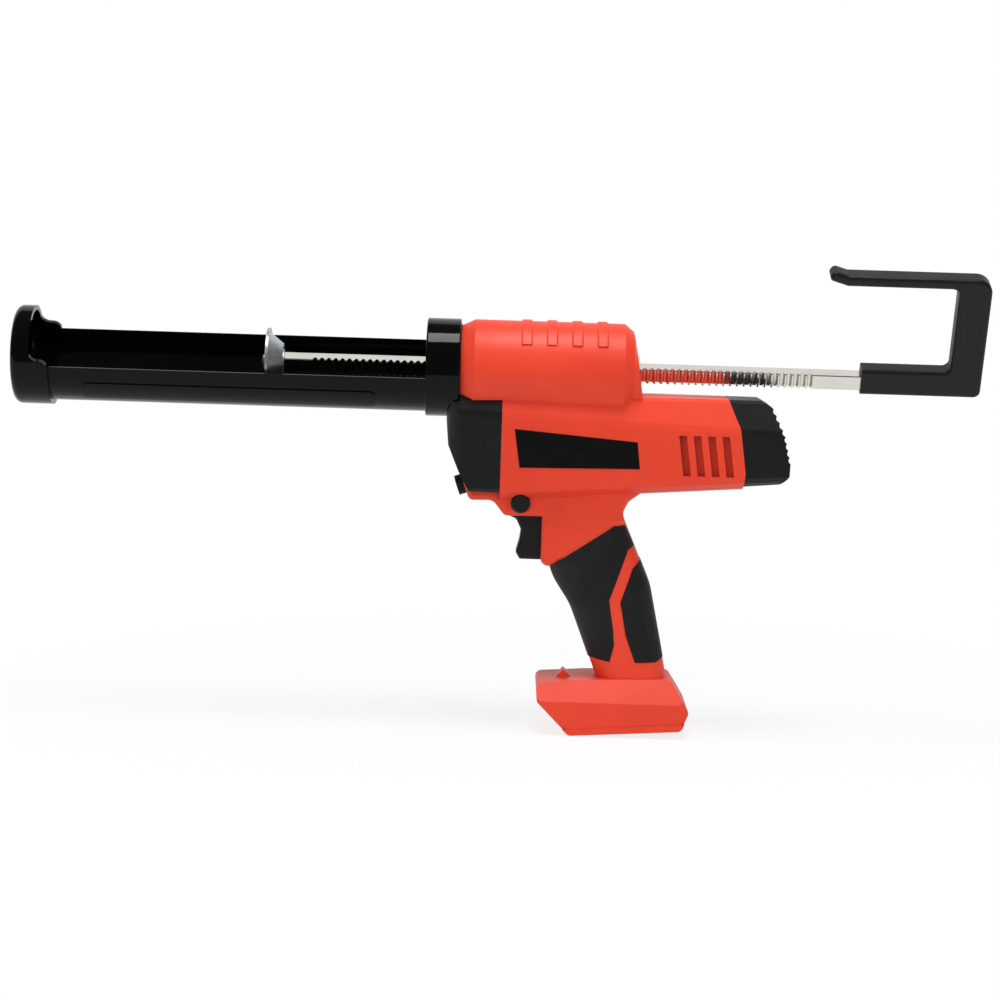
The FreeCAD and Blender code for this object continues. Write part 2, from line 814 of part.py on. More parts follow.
def barrel_socket():
    """Fixed ring on the gear bump's front, with the neck that the collar turns on."""
    front = "cradle_tail - parting_gap"
    step = "cradle_tail + collar_lip_length + parting_gap"
    socket = turned("socket", [
        (front, "rack_bush_radius"),
        (front, "socket_neck_radius"),
        (step, "socket_neck_radius"),
        (step, "socket_flange_radius"),
        ("bump_front", "socket_flange_radius"),
        ("bump_front", "rack_bush_radius"),
    ])
    keep(socket, "barrel_socket")
    rim = "cradle_radius - cradle_wall - 2 * parting_gap"
    ring = turned("retainer", [
        (f"{front} - retainer_length", "rack_bush_radius"),
        (f"{front} - retainer_length", rim),
        (front, rim),
        (front, "rack_bush_radius"),
    ])
    return keep(ring, "retainer_ring")


# Rack, push disc and hook


def rack():
    """Square steel bar with teeth cut across the side that faces the pinion."""
    bar = new_body("rack_bar")
    edge = "rack_side / 2"
    pad(bar, outline(bar, "YZ_Plane", [
        (f"-{edge}", f"-{edge}"), (edge, f"-{edge}"), (edge, edge), (f"-{edge}", edge),
    ], "-rack_front"), "rack_front + rack_tail", both=False)
    doc.recompute()
    base = bar.Tip
    long_edges = [
        f"Edge{n}" for n, item in enumerate(base.Shape.Edges, start=1)
        if abs(item.Length - number("rack_front + rack_tail")) < 1e-4
    ]
    corner = bar.newObject("PartDesign::Chamfer", "corners")
    corner.Base = (base, long_edges)
    bind(corner, Size="rack_edge_chamfer")
    root = f"-{edge} + {MODULE} * (1 + {FOOT_SHARE})"
    slope = "tan(pressure_angle)"
    open_half = f"(rack_pitch / 4 + {MODULE} * {slope} + tooth_backlash / 2)"
    root_half = f"(rack_pitch / 4 - {MODULE} * {FOOT_SHARE} * {slope} + tooth_backlash / 2)"
    clear = "overrun / 10"
    gap = pocket(bar, outline(bar, "XY_Plane", [
        (f"-rack_first_gap - {root_half}", root),
        (f"-rack_first_gap - {open_half}", f"-{edge}"),
        (f"-rack_first_gap - {open_half}", f"-{edge} - {clear}"),
        (f"-rack_first_gap + {open_half}", f"-{edge} - {clear}"),
        (f"-rack_first_gap + {open_half}", f"-{edge}"),
        (f"-rack_first_gap + {root_half}", root),
    ]), "2 * rack_side")
    row = bar.newObject("PartDesign::LinearPattern", "teeth")
    row.Originals = [gap]
    row.Direction = (next(item for item in bar.Origin.OriginFeatures if item.Role == "X_Axis"), [""])
    bind(row, Length="rack_pitch * (rack_gap_count - 1)", Occurrences="rack_gap_count")
    bar.Tip = row
    return keep(cut("rack_bored", bar, *pin_rods("rack_hole", "overrun")), "rack", RACK_ROLL)


def pin_rods(name, reach):
    """The cross pins that hold the hook on the rack's tail, from the rack's left face out to a reach."""
    bars = []
    for index in range(int(size("hook_pin_count"))):
        place = f"hook_sleeve_front + hook_pin_inset + {index} * hook_pin_step"
        low = (place, "-rack_side / 2", "0")
        bars.append(rod(name, "hook_pin_radius", f"rack_side / 2 + {reach}", low, "Y"))
    return bars


def push_disc():
    """Stamped disc that pushes the cartridge's piston, on a boss over the rack's end."""
    front = "-disc_front"
    plate = turned("disc_plate", [
        (front, "screw_shank_radius"),
        (front, "disc_radius"),
        (f"{front} + disc_rim", "disc_radius"),
        (f"{front} + disc_rim", "disc_shoulder_radius"),
        (f"{front} + disc_depth", "disc_boss_radius"),
        (f"{front} + disc_depth", "disc_nose_radius"),
        ("-rack_front", "disc_nose_radius"),
        ("-rack_front", "screw_shank_radius"),
    ])
    keep(plate, "push_disc", RACK_ROLL)
    head = f"{front} - screw_head_height"
    screw = turned("disc_screw_bar", [
        (head, "0"),
        (head, f"screw_head_radius * {CROWN_SHARES[0]}"),
        (f"{front} - screw_head_height * {CROWN_SHARES[1]}", "screw_head_radius"),
        (front, "screw_head_radius"),
        (front, "screw_shank_radius"),
        ("-rack_front", "screw_shank_radius"),
        ("-rack_front", "0"),
    ])
    return keep(screw, "disc_screw", RACK_ROLL)


def hook_handle():
    """Open hook over the rack's tail: a sleeve on the bar, a post and an arm that points forwards."""
    hook = new_body("hook")
    pad(hook, outline(hook, "XZ_Plane", [
        ("hook_sleeve_front", "-hook_sleeve_low"),
        ("hook_rear", "-hook_sleeve_low"),
        ("hook_rear", "hook_arm_height"),
        ("hook_arm_front + hook_tip_run", "hook_arm_height"),
        ("hook_arm_front + hook_inner_round", "hook_arm_height + hook_tip_rise"),
        ("hook_arm_front", "hook_arm_height - hook_tip_rise"),
        ("hook_arm_front + hook_tip_run", "hook_arm_drop"),
        ("hook_rear - hook_post_depth", "hook_arm_drop"),
        ("hook_rear - hook_post_depth", "hook_sleeve_high"),
        ("hook_sleeve_front", "hook_sleeve_high"),
    ]), "hook_width")
    rear = size("hook_rear")
    inner = number("hook_rear - hook_post_depth")
    arm = number("hook_arm_front + hook_tip_run")
    rounded(hook, stands_at([(rear, size("hook_arm_height"))]), "hook_outer_round")
    rounded(hook, stands_at([
        (inner, size("hook_arm_drop")), (inner, size("hook_sleeve_high")), (arm, size("hook_arm_drop")),
        (rear, number("-hook_sleeve_low")),
    ]), "hook_inner_round")
    tip = number("hook_arm_height + hook_tip_rise")
    rounded(hook, stands_at([
        (number("hook_arm_front + hook_inner_round"), tip),
        (size("hook_arm_front"), number("hook_arm_height - hook_tip_rise")),
    ]), "hook_tip_rise")
    front = (Vector(size("hook_sleeve_front"), 0, number("-hook_sleeve_low")),
             Vector(size("hook_sleeve_front"), 0, size("hook_sleeve_high")))
    rounded(hook, on_flank(size("hook_width") / 2, [front]), "hook_edge_round")
    edge = "rack_side / 2"
    pocket(hook, outline(hook, "YZ_Plane", [
        (f"-{edge}", f"-{edge}"), (edge, f"-{edge}"), (edge, edge), (f"-{edge}", edge),
    ], "rack_tail"), "rack_tail", both=False)
    keep(cut("hook_bored", hook, *pin_rods("pin_hole", "overrun")), "hook_handle", RACK_ROLL)
    return keep(fuse("pin_pair", *pin_rods("pin", "hook_width / 2 - parting_gap")), "hook_pins", RACK_ROLL)


# Drive


def involute_half(teeth, radius, shift):
    """Half the angle that a tooth takes at a radius, for a module of one, less the backlash shift."""
    pressure = math.radians(size("pressure_angle"))
    pitch_radius = teeth / 2
    base = pitch_radius * math.cos(pressure)
    here = math.acos(min(1.0, base / max(radius, base)))
    swell = (math.tan(pressure) - pressure) - (math.tan(here) - here)
    return math.pi / (2 * teeth) + swell - shift / radius


def toothed(teeth, points, start):
    """A closed toothed polygon from one tooth's half profile, the first tooth at the start angle."""
    ring = []
    for index in range(int(teeth)):
        middle_angle = start + 2 * math.pi * index / teeth
        for sign, flank in ((-1, points), (1, points[::-1])):
            for radius, half in flank:
                angle = middle_angle + sign * half
                ring.append(Vector(radius * math.cos(angle), radius * math.sin(angle), 0))
    return Part.makePolygon(ring + ring[:1])


def solid_piece(name, shape, label, roll):
    """A computed shape as a piece of the document."""
    piece = doc.addObject("Part::Feature", name)
    piece.Shape = shape
    return keep(piece, label, roll)


def rack_pinion():
    """Spur pinion in mesh with the rack, one tooth pointing straight at it."""
    module = number(MODULE)
    teeth = size("pinion_teeth")
    shift = size("tooth_backlash") / 4 / module
    flank = []
    for share in FLANK_SHARES:
        radius = teeth / 2 + share
        flank.append((radius * module, involute_half(teeth, radius, shift)))
    face = Part.Face(toothed(teeth, flank, math.pi / 2))
    height = size("pinion_height")
    wheel = face.extrude(Vector(0, 0, height))
    wheel = wheel.cut(Part.makeCylinder(size("pinion_bore_radius"), height))
    wheel.translate(Vector(number(PINION_X), -number(PINION_OFFSET), -height / 2))
    return solid_piece("pinion", wheel, "rack_pinion", RACK_ROLL)


def bevel_shape(teeth, mate, near, far, phase, bore):
    """A straight bevel wheel whose cone points at the origin, between two distances along +Z."""
    cone = math.atan2(teeth, mate)
    reach = math.hypot(teeth, mate) / 2
    virtual = teeth / math.cos(cone)
    shift = size("tooth_backlash") / 2 / number(MODULE)
    flank = []
    for share in FLANK_SHARES:
        radius = virtual / 2 + share
        half = involute_half(virtual, radius, shift) * radius
        angle = cone + math.atan2(share, reach)
        flank.append((math.tan(angle), half / (reach * math.sin(angle))))
    rings = []
    for distance in (near, far):
        ring = toothed(teeth, [(radius * distance, half) for radius, half in flank], phase)
        ring.translate(Vector(0, 0, distance))
        rings.append(ring)
    wheel = Part.makeLoft(rings, True, True)
    return wheel.cut(Part.makeCylinder(bore, far + near, Vector(0, 0, near - far)))


def bevel_pair():
    """Bevel gear under the rack pinion's shaft and the bevel pinion on the gearbox's output."""
    apex = Vector(number(PINION_X), -number(PINION_OFFSET), -number(APEX_DROP))
    gear_teeth = size("bevel_gear_teeth")
    pinion_teeth = size("bevel_pinion_teeth")
    bore = size("pinion_bore_radius")
    far = size("bevel_far")
    gear = bevel_shape(gear_teeth, pinion_teeth, size("bevel_near"), far, 0, bore)
    hub = Part.makeCylinder(size("bevel_hub_radius"), size("bevel_hub_length"), Vector(0, 0, far))
    hub = hub.cut(Part.makeCylinder(bore, size("bevel_hub_length"), Vector(0, 0, far)))
    gear = gear.fuse(hub).removeSplitter()
    gear.translate(apex)
    solid_piece("gear_wheel", gear, "bevel_gear", RACK_ROLL)
    bore = size("output_shaft_radius")
    wheel = bevel_shape(pinion_teeth, gear_teeth, size("bevel_pinion_near"), size("bevel_pinion_far"),
                        math.pi + math.pi / pinion_teeth, bore)
    wheel.rotate(Vector(), Vector(0, 1, 0), 90)
    wheel.translate(apex)
    return solid_piece("gear_pinion", wheel, "bevel_pinion", RACK_ROLL)


def drive_axis(name, radius, start, end):
    """A round bar on the rack pinion's axis, between two heights."""
    return rod(name, radius, f"{end} - ({start})", (PINION_X, f"-{PINION_OFFSET}", start), "Z")


def motor_axis(name, radius, start, length):
    """A round bar on the motor's axis, in the rack frame."""
    return rod(name, radius, length, (start, f"-{PINION_OFFSET}", f"-{APEX_DROP}"))


BRIDGE_LOW = "(pinion_height / 2 + parting_gap)"
BRIDGE_HIGH = f"({BRIDGE_LOW} + bearing_length)"
FOOT_LOW = f"(-{APEX_DROP} - shaft_foot)"
GEARBOX_X = f"({PINION_X} + case_nose_end)"
CASE_WAIST = f"(-{APEX_DROP} + bevel_near - case_wall - 2 * parting_gap)"


def shafts():
    """The pinion's shaft with its bearings, and the output shaft with its own."""
    keep(drive_axis("shaft", "pinion_bore_radius", FOOT_LOW, BRIDGE_HIGH), "pinion_shaft", RACK_ROLL)
    bore = "pinion_bore_radius + running_gap"
    upper = cut("upper_bearing", drive_axis("race", "bearing_radius", BRIDGE_LOW, BRIDGE_HIGH),
                drive_axis("race_bore", bore, FOOT_LOW, BRIDGE_HIGH))
    foot_top = f"{FOOT_LOW} + bearing_length"
    lower = cut("lower_bearing", drive_axis("race", "bearing_radius", FOOT_LOW, foot_top),
                drive_axis("race_bore", bore, FOOT_LOW, BRIDGE_HIGH))
    keep(fuse("shaft_races", upper, lower), "shaft_bearings", RACK_ROLL)
    start = f"{PINION_X} + bevel_pinion_near"
    length = "case_nose_end - bevel_pinion_near + bearing_length"
    keep(motor_axis("drive_shaft", "output_shaft_radius", start, length), "output_shaft", RACK_ROLL)
    seat = f"{GEARBOX_X} - bearing_length"
    ring = cut("output_race", motor_axis("race", "bearing_radius", seat, "bearing_length"),
               motor_axis("race_bore", "output_shaft_radius + running_gap", seat, "bearing_length"))
    return keep(ring, "output_bearing", RACK_ROLL)


def gear_case():
    """Cast case round the bevel pair, with the lower bearing's seat and the gearbox's spigot."""
    low = "-case_top_drop - case_wall"
    waist = CASE_WAIST
    outer = fuse(
        "case_solid",
        drive_axis("case_drum", "case_radius", waist, "-case_top_drop"),
        drive_axis("case_foot", "case_foot_radius", FOOT_LOW, waist),
        motor_axis("case_nose", "case_nose_radius", PINION_X, "case_nose_end"),
    )
    room = cut(
        "case_open",
        outer,
        drive_axis("drum_room", "case_radius - case_wall", f"{waist} + case_wall", low),
        drive_axis("foot_room", "case_foot_radius - 2 * case_wall", f"{FOOT_LOW} + bearing_length", low),
        drive_axis("foot_seat", "bearing_radius", FOOT_LOW, low),
        drive_axis("top_hole", "bearing_radius", low, "0"),
        motor_axis("nose_room", "case_nose_radius - 2 * case_wall", PINION_X,
                   "case_nose_end - bearing_length"),
        motor_axis("nose_seat", "bearing_radius", PINION_X, "case_nose_end"),
    )
    keep(room, "gear_case", RACK_ROLL)
    legs = []
    for side in (-1, 1):
        start = f"{PINION_X} + {side} * (bridge_leg_offset + bridge_leg_depth / 2) - bridge_leg_depth / 2"
        low_corner = (start, f"-{PINION_OFFSET} - bridge_radius / 2", "-case_top_drop")
        leg = ("bridge_leg_depth", "bridge_radius", f"case_top_drop + {BRIDGE_HIGH}")
        legs.append(block("leg", low_corner, leg))
    span = "2 * (bridge_leg_offset + bridge_leg_depth)"
    beam = block("beam", (f"{PINION_X} - ({span}) / 2", f"-{PINION_OFFSET} - bridge_radius / 2", BRIDGE_LOW),
                 (span, "bridge_radius", "bearing_length"))
    boss = drive_axis("boss", "bridge_radius", BRIDGE_LOW, BRIDGE_HIGH)
    bridge = cut("bridge", fuse("bridge_solid", beam, boss, *legs),
                 drive_axis("bridge_seat", "bearing_radius", "0", f"2 * {BRIDGE_HIGH}"))
    return keep(bridge, "bearing_bridge", RACK_ROLL)


def case_room():
    """The space that the shells leave round the gear case's drum."""
    drum = drive_axis("drum_clear", "case_radius + parting_gap", f"{CASE_WAIST} - parting_gap",
                      "parting_gap - case_top_drop")
    space = held(drum)
    space.Placement = FreeCAD.Placement(Vector(), FreeCAD.Rotation(Vector(1, 0, 0), number(RACK_ROLL)))
    return bind(space, Placement__Rotation__Angle=RACK_ROLL)


def motor_train():
    """Planetary gearbox, motor can and end bell, one behind the other on the motor's axis."""
    box = turned("gearbox_can", [
        (GEARBOX_X, "output_shaft_radius + 2 * running_gap"),
        (GEARBOX_X, "case_nose_radius"),
        (f"{GEARBOX_X} + bearing_length", "case_nose_radius"),
        (f"{GEARBOX_X} + bearing_length", "gearbox_radius"),
        (f"{GEARBOX_X} + gearbox_length", "gearbox_radius"),
        (f"{GEARBOX_X} + gearbox_length", "0"),
        (f"{GEARBOX_X} + bearing_length + parting_gap", "0"),
        (f"{GEARBOX_X} + bearing_length + parting_gap", "output_shaft_radius + 2 * running_gap"),
    ])
    lowered(box, "planetary_gearbox")
    start = f"({GEARBOX_X} + gearbox_length)"
    can = turned("motor_drum", [
        (start, "0"),
        (start, "motor_radius - case_wall"),
        (f"{start} + case_wall", "motor_radius"),
        (f"{start} + motor_length", "motor_radius"),
        (f"{start} + motor_length", "0"),
    ])
    lowered(can, "motor_can")
    bell_start = f"({start} + motor_length)"
    bell = turned("motor_bell", [
        (bell_start, "0"),
        (bell_start, "motor_radius - case_wall"),
        (f"{bell_start} + motor_bell_length / 2", "motor_radius - case_wall"),
        (f"{bell_start} + motor_bell_length / 2", "bearing_radius"),
        (f"{bell_start} + motor_bell_length", "bearing_radius"),
        (f"{bell_start} + motor_bell_length", "0"),
    ])
    return lowered(bell, "motor_end_bell")


def lowered(thing, label):
    """Puts a piece turned about the barrel axis on the motor's axis."""
    keep(thing, label)
    return bind(thing, Placement__Base__z="barrel_height - motor_drop")


def rack_bushes():
    """Round bushes with a square hole that guide the rack at both ends of the gear bump."""
    hole_side = "rack_side + 2 * rack_bush_gap"
    front = "cradle_tail - parting_gap - retainer_length"
    rear = "bump_rear - rear_bush_length + parting_gap"
    for label, radius, start, length in (
        ("front_rack_bush", "rack_bush_radius", front, f"bump_front + wall - ({front})"),
        ("rear_rack_bush", "rear_bush_radius", rear, "rear_bush_length"),
    ):
        hole = block("bush_hole", (start, f"-({hole_side}) / 2", f"-({hole_side}) / 2"),
                     (length, hole_side, hole_side))
        bar = rod(label + "_bar", radius, length, (start, "0", "0"))
        keep(cut(label + "_bored", bar, hole), label, RACK_ROLL)


# Housing


MOUTH_TOP = f"(head_top_drop + {MOUTH_TOP_SHARE} * head_drop)"
MOUTH_WALL = f"(head_front + {MOUTH_WALL_SHARE} * head_run)"
MOUTH_FLOOR = f"(head_top_drop + {MOUTH_FLOOR_SHARE} * head_drop)"
HEAD = ("head_front", "head_top_drop", "head_run", "head_drop")
SHOE_TOP = "(barrel_height - shoe_rise)"
HOLLOW_TOP = "(barrel_height - shoe_hollow_rise)"
GRIP = ("grip_front", "grip_top_drop", "grip_run", GRIP_DROP)
SHOE = ("shoe_front", SHOE_TOP, "shoe_run", "shoe_drop")
FRONT_BELLY = "(front_crease_drop + (front_ridge_half - front_belly_half) * belly_slope)"
REAR_BELLY = "(rear_crease_drop + (rear_ridge_half - rear_belly_half) * belly_slope)"
TRUNK = ("body_front", "body_top_drop", "(body_rear - body_front)", f"({FRONT_BELLY} - body_top_drop)")
END_RUN = "(cap_black_rear - cap_black_front)"
END = ("cap_black_front", "body_top_drop", END_RUN, f"({REAR_BELLY} - body_top_drop)")
NOSE = ("nose_front", "body_top_drop", "(body_front - nose_front)", "nose_drop")
BUMP = ("bump_front", "0", "(bump_rear - bump_front)", "bump_radius")


def hull(name, stations, inset="0"):
    """A trunk lofted between sections with a flat top, sloped shoulders, flat sides and a tucked belly."""
    body = new_body(name)
    sketches = []
    lean = "sqrt(shoulder_slope ^ 2 + 1)"
    tuck = "sqrt(belly_slope ^ 2 + 1)"
    ease = "body_edge_ease"
    for along, end in stations:
        side = f"({end}_ridge_half - ({inset}))"
        sunk = f"{RIDGE_INSET_SHARE} * ({inset})"
        top = f"({end}_ridge_half - ({end}_ridge_drop - body_top_drop) * shoulder_slope - {sunk})"
        roof = f"(-body_top_drop - ({inset}))"
        ridge = f"(-{end}_ridge_drop - {sunk})"
        crease = f"(-{end}_crease_drop + {CREASE_INSET_SHARE} * ({inset}))"
        keel = f"({end}_belly_half - {KEEL_INSET_SHARE} * ({inset}))"
        belly = f"(-{end}_crease_drop - ({end}_ridge_half - {end}_belly_half) * belly_slope + ({inset}))"
        half = [
            (f"{top} - {ease}", roof),
            (f"{top} + {ease} * shoulder_slope / {lean}", f"{roof} - {ease} / {lean}"),
            (f"{side} - {ease} * shoulder_slope / {lean}", f"{ridge} + {ease} / {lean}"),
            (side, f"{ridge} - {ease}"),
            (side, f"{crease} + {ease}"),
            (f"{side} - {ease} / {tuck}", f"{crease} - {ease} * belly_slope / {tuck}"),
            (f"{keel} + {ease} / {tuck}", f"{belly} + {ease} * belly_slope / {tuck}"),
            (f"{keel} - {ease}", belly),
        ]
        mirrored = [(f"-({y})", z) for y, z in half[::-1]]
        sketches.append(outline(body, "YZ_Plane", half + mirrored, along))
    loft = body.newObject("PartDesign::AdditiveLoft", "loft")
    loft.Profile = sketches[0]
    loft.Sections = sketches[1:]
    loft.Ruled = True
    body.Tip = loft
    return body


TRUNK_ENDS = (("body_front", "front"), ("body_rear", "rear"))
NOSE_ENDS = (("0", "nose"), ("body_front", "front"))


def bump():
    """Gear bump: a turned drum with ribs over its top, and the same drum's hollow."""
    shape = turned("bump_drum", [
        ("bump_front", "0"),
        ("bump_front", "bump_front_radius"),
        ("bump_front + bump_front_taper", "bump_radius"),
        ("bump_shoulder", "bump_radius"),
        ("bump_shoulder + bump_rear_taper", "bump_rear_radius"),
        ("bump_rear + overrun", "bump_rear_radius"),
        ("bump_rear + overrun", "0"),
    ])
    foot = "bump_rib_first - bump_rib_width / 2"
    rib = shape.newObject("PartDesign::Revolution", "rib")
    rib.Profile = outline(shape, "XZ_Plane", [
        (foot, "bump_radius - bump_rib_proud"),
        (foot, "bump_radius"),
        (f"{foot} + bump_rib_flank", "bump_radius + bump_rib_proud"),
        (f"{foot} + bump_rib_width - bump_rib_flank", "bump_radius + bump_rib_proud"),
        (f"{foot} + bump_rib_width", "bump_radius"),
        (f"{foot} + bump_rib_width", "bump_radius - bump_rib_proud"),
    ])
    axis = next(item for item in shape.Origin.OriginFeatures if item.Role == "X_Axis")
    rib.ReferenceAxis = (axis, [""])
    rib.Midplane = True
    bind(rib, Angle="bump_rib_angle")
    row = shape.newObject("PartDesign::LinearPattern", "ribs")
    row.Originals = [rib]
    row.Direction = (axis, [""])
    bind(row, Length="bump_rib_step * (bump_rib_count - 1)", Occurrences="bump_rib_count")
    shape.Tip = row
    lean = "tan(bump_rear_lean) * 2 * overrun"
    back = prism("bump_back", [
        (f"bump_rear + {lean}", "-2 * overrun"),
        (f"bump_rear - {lean}", "2 * overrun"),
        ("bump_rear + 2 * overrun", "2 * overrun"),
        ("bump_rear + 2 * overrun", "-2 * overrun"),
    ])
    hollow = turned("bump_room", [
        ("bump_front + wall", "0"),
        ("bump_front + wall", "bump_front_radius - wall / 2"),
        ("bump_front + bump_front_taper + wall / 2", "bump_radius - wall"),
        ("bump_shoulder - wall / 2", "bump_radius - wall"),
        ("bump_rear - bump_rear_wall", "bump_rear_radius - wall / 2"),
        ("bump_rear - bump_rear_wall", "0"),
    ])
    return cut("bump_solid", shape, back), hollow


def shoe_point(along, up):
    """A point of the side view in the shoe's tilted frame, from the front end of its underside."""
    front = f"(shoe_front + {SHOE_SHARES[-2][0]} * shoe_run)"
    return (f"{front} + ({along}) * cos(shoe_tilt) - ({up}) * sin(shoe_tilt)",
            f"-{SHOE_TOP} - shoe_drop + ({along}) * sin(shoe_tilt) + ({up}) * cos(shoe_tilt)")


def shoe_block(name, low_corner, span):
    """A box in the shoe's tilted frame."""
    x, z = shoe_point(low_corner[0], low_corner[2])
    box = doc.addObject("Part::Box", name)
    box.Placement = FreeCAD.Placement(Vector(), FreeCAD.Rotation(Vector(0, 1, 0), -size("shoe_tilt")))
    return bind(box, Length=span[0], Width=span[1], Height=span[2], Placement__Rotation__Angle="-shoe_tilt",
                Placement__Base__x=x, Placement__Base__y=low_corner[1], Placement__Base__z=z)


def shoe():
    """Battery shoe with sloped shoulders, a lip and a wedge, its hollows, and the battery's channel."""
    side_form = form("shoe_form", SHOE, SHOE_SHARES, "shoe_half", "shoe_edge_round")
    roof = new_body("shoe_roof")
    foot = f"-{SHOE_TOP} - shoe_drop - overrun"
    eaves = f"-{SHOE_TOP} - shoe_slope_drop"
    pad(roof, outline(roof, "YZ_Plane", [
        ("-shoe_half", foot),
        ("shoe_half", foot),
        ("shoe_half", eaves),
        ("shoe_ridge_half", f"-{SHOE_TOP}"),
        ("-shoe_ridge_half", f"-{SHOE_TOP}"),
        ("-shoe_half", eaves),
    ], "shoe_front - overrun"), "shoe_run + 2 * overrun", both=False)
    band = shoe_block("lip_band", ("-overrun", "-2 * shoe_half", "-overrun"),
                      ("shoe_run + 2 * overrun", "4 * shoe_half", "overrun + shoe_lip_height"))
    lip_form = form("lip_form", SHOE, SHOE_SHARES, "(shoe_half + shoe_lip_proud)", "shoe_lip_round")
    lip = common("shoe_lip", lip_form, band)
    nub = new_body("nub")
    start = "(nub_place - nub_run / 2)"
    pad(nub, outline(nub, "XZ_Plane", [
        (start, f"-{SHOE_TOP} - nub_height"),
        (f"{start} + {NUB_SHARE} * nub_run", f"-{SHOE_TOP} + nub_height / 2"),
        (f"{start} + nub_run", f"-{SHOE_TOP} - nub_height"),
    ]), "2 * nub_half")
    mouth = shoe_block("shoe_mouth", ("-overrun", "-shoe_slot_half", "-overrun"),
                       ("overrun + shoe_slot_end", "2 * shoe_slot_half", "overrun + shoe_slot_height"))
    groove = ("overrun + shoe_slot_end", "2 * shoe_rail_half", "shoe_slot_height - shoe_rail_height")
    rails = shoe_block("shoe_rails", ("-overrun", "-shoe_rail_half", "shoe_rail_height"), groove)
    low = ("shoe_hollow_front", "-shoe_hollow_half", f"-{HOLLOW_TOP} - shoe_hollow_height")
    span = ("shoe_hollow_rear - shoe_hollow_front", "2 * shoe_hollow_half", "shoe_hollow_height")
    room = block("shoe_room", low, span)
    low = ("shoe_throat_front", "-shoe_throat_half", f"-{HOLLOW_TOP} - shoe_hollow_height / 2")
    span = ("shoe_throat_run", "2 * shoe_throat_half", "shoe_hollow_height / 2 + shoe_throat_rise")
    throat = block("shoe_throat", low, span)
    solid = fuse("shoe_solid", common("shoe_body", side_form, roof), lip, nub)
    return solid, [room, throat], [mouth, rails]


def screw_places():
    """Side-view place and half width of the housing at every screw."""
    return [
        (place, half)
        for frame, rows, half in (
            (BUMP, BUMP_SCREW_SHARES, "bump_screw_half"),
            (TRUNK, BODY_SCREW_SHARES, "body_screw_half"),
            (GRIP, GRIP_SCREW_SHARES, "grip_half"),
            (SHOE, SHOE_SCREW_SHARES, "shoe_half"),
        )
        for place in shares(frame, rows)
    ]


def screws():
    """One kind of screw, set from the right side into the left shell, and the holes they take."""
    bars = []
    holes = []
    for (x, z), half in screw_places():
        seat = f"({half} - screw_sink - screw_cap_height)"
        bars.append(rod("screw_shank", "screw_radius", f"screw_grip + {seat}", (x, "-screw_grip", z), "Y"))
        bars.append(rod("screw_cap", "screw_cap_radius", "screw_cap_height", (x, seat, z), "Y"))
        holes.append(rod("screw_hole", "screw_radius", f"screw_grip + {seat}", (x, "-screw_grip", z), "Y"))
        holes.append(rod("screw_well", "screw_cap_radius", "overrun", (x, seat, z), "Y"))
    keep(fuse("screw_set", *bars), "housing_screws")
    return holes


def bosses():
    """Pillars for the screws, seat ribs for the drive and the switch, and baffles behind the vents."""
    pillars = [
        rod("boss", "boss_radius", "2 * overrun", (x, "-overrun", z), "Y") for (x, z), half in screw_places()
    ]
    ribs = []
    for place, radius in (("gearbox_rib", "gearbox_radius"), ("motor_rib", "motor_radius")):
        slab = block("rib_slab", (place, "-overrun", f"-{FRONT_BELLY}"),
                     ("seat_rib_length", "2 * overrun", f"{FRONT_BELLY} - body_top_drop"))
        seat = rod("rib_seat", radius, "seat_rib_length", (place, "0", "-motor_drop"))
        ribs.append(cut("rib", slab, seat))
    low = ("switch_front + switch_length / 2", "-overrun", "-switch_top_drop - switch_height - wall")
    slab = block("switch_slab", low, ("seat_rib_length", "2 * overrun", "switch_height + 2 * wall"))
    ribs.append(cut("switch_rib", slab, switch_box("switch_room")))
    reach = "(vent_count + 1) * vent_step + tan(vent_lean) * vent_height"
    for side in (-1, 1):
        low = ("vent_first - vent_step", f"{side} * baffle_place - baffle_wall / 2", f"-{FRONT_BELLY}")
        ribs.append(block("baffle", low, (reach, "baffle_wall", f"{FRONT_BELLY} - body_top_drop")))
    return pillars + ribs


def switch_box(name):
    """The switch's outer box."""
    return block(name, ("switch_front", "-switch_half", "-switch_top_drop - switch_height"),
                 ("switch_length", "2 * switch_half", "switch_height"))


def vents():
    """Slanted slots through both sides of the motor body."""
    slots = []
    for index in range(int(size("vent_count"))):
        left = f"(vent_first + {index} * vent_step - vent_width / 2)"
        shift = "tan(vent_lean) * vent_height"
        slots.append(prism("vent", [
            (left, "-vent_top_drop"),
            (f"{left} + vent_width", "-vent_top_drop"),
            (f"{left} + vent_width + {shift}", "-vent_top_drop - vent_height"),
            (f"{left} + {shift}", "-vent_top_drop - vent_height"),
        ]))
    return slots


DIAL_TILT = f"atan({CHIN_SHARES[0]} * head_run / ({CHIN_SHARES[1]} * head_drop))"


def dial_pose(thing, out):
    """Stands a piece drawn along +Z on the chin's slope, so far out of it."""
    x = f"(head_front + dial_share * {CHIN_SHARES[0]} * head_run - cos({DIAL_TILT}) * ({out}))"
    z = f"(-head_top_drop - dial_share * {CHIN_SHARES[1]} * head_drop - sin({DIAL_TILT}) * ({out}))"
    turn = f"-acos(-sin({DIAL_TILT}))"
    thing.Placement = FreeCAD.Placement(Vector(), FreeCAD.Rotation(Vector(0, 1, 0), -90))
    return bind(thing, Placement__Rotation__Angle=turn, Placement__Base__x=x, Placement__Base__z=z)


def dial_rod(name, radius, start, length):
    """A round bar on the dial's axis, from a depth out of the chin's slope."""
    bar = doc.addObject("Part::Cylinder", name)
    bind(bar, Radius=radius, Height=length)
    return dial_pose(bar, start)


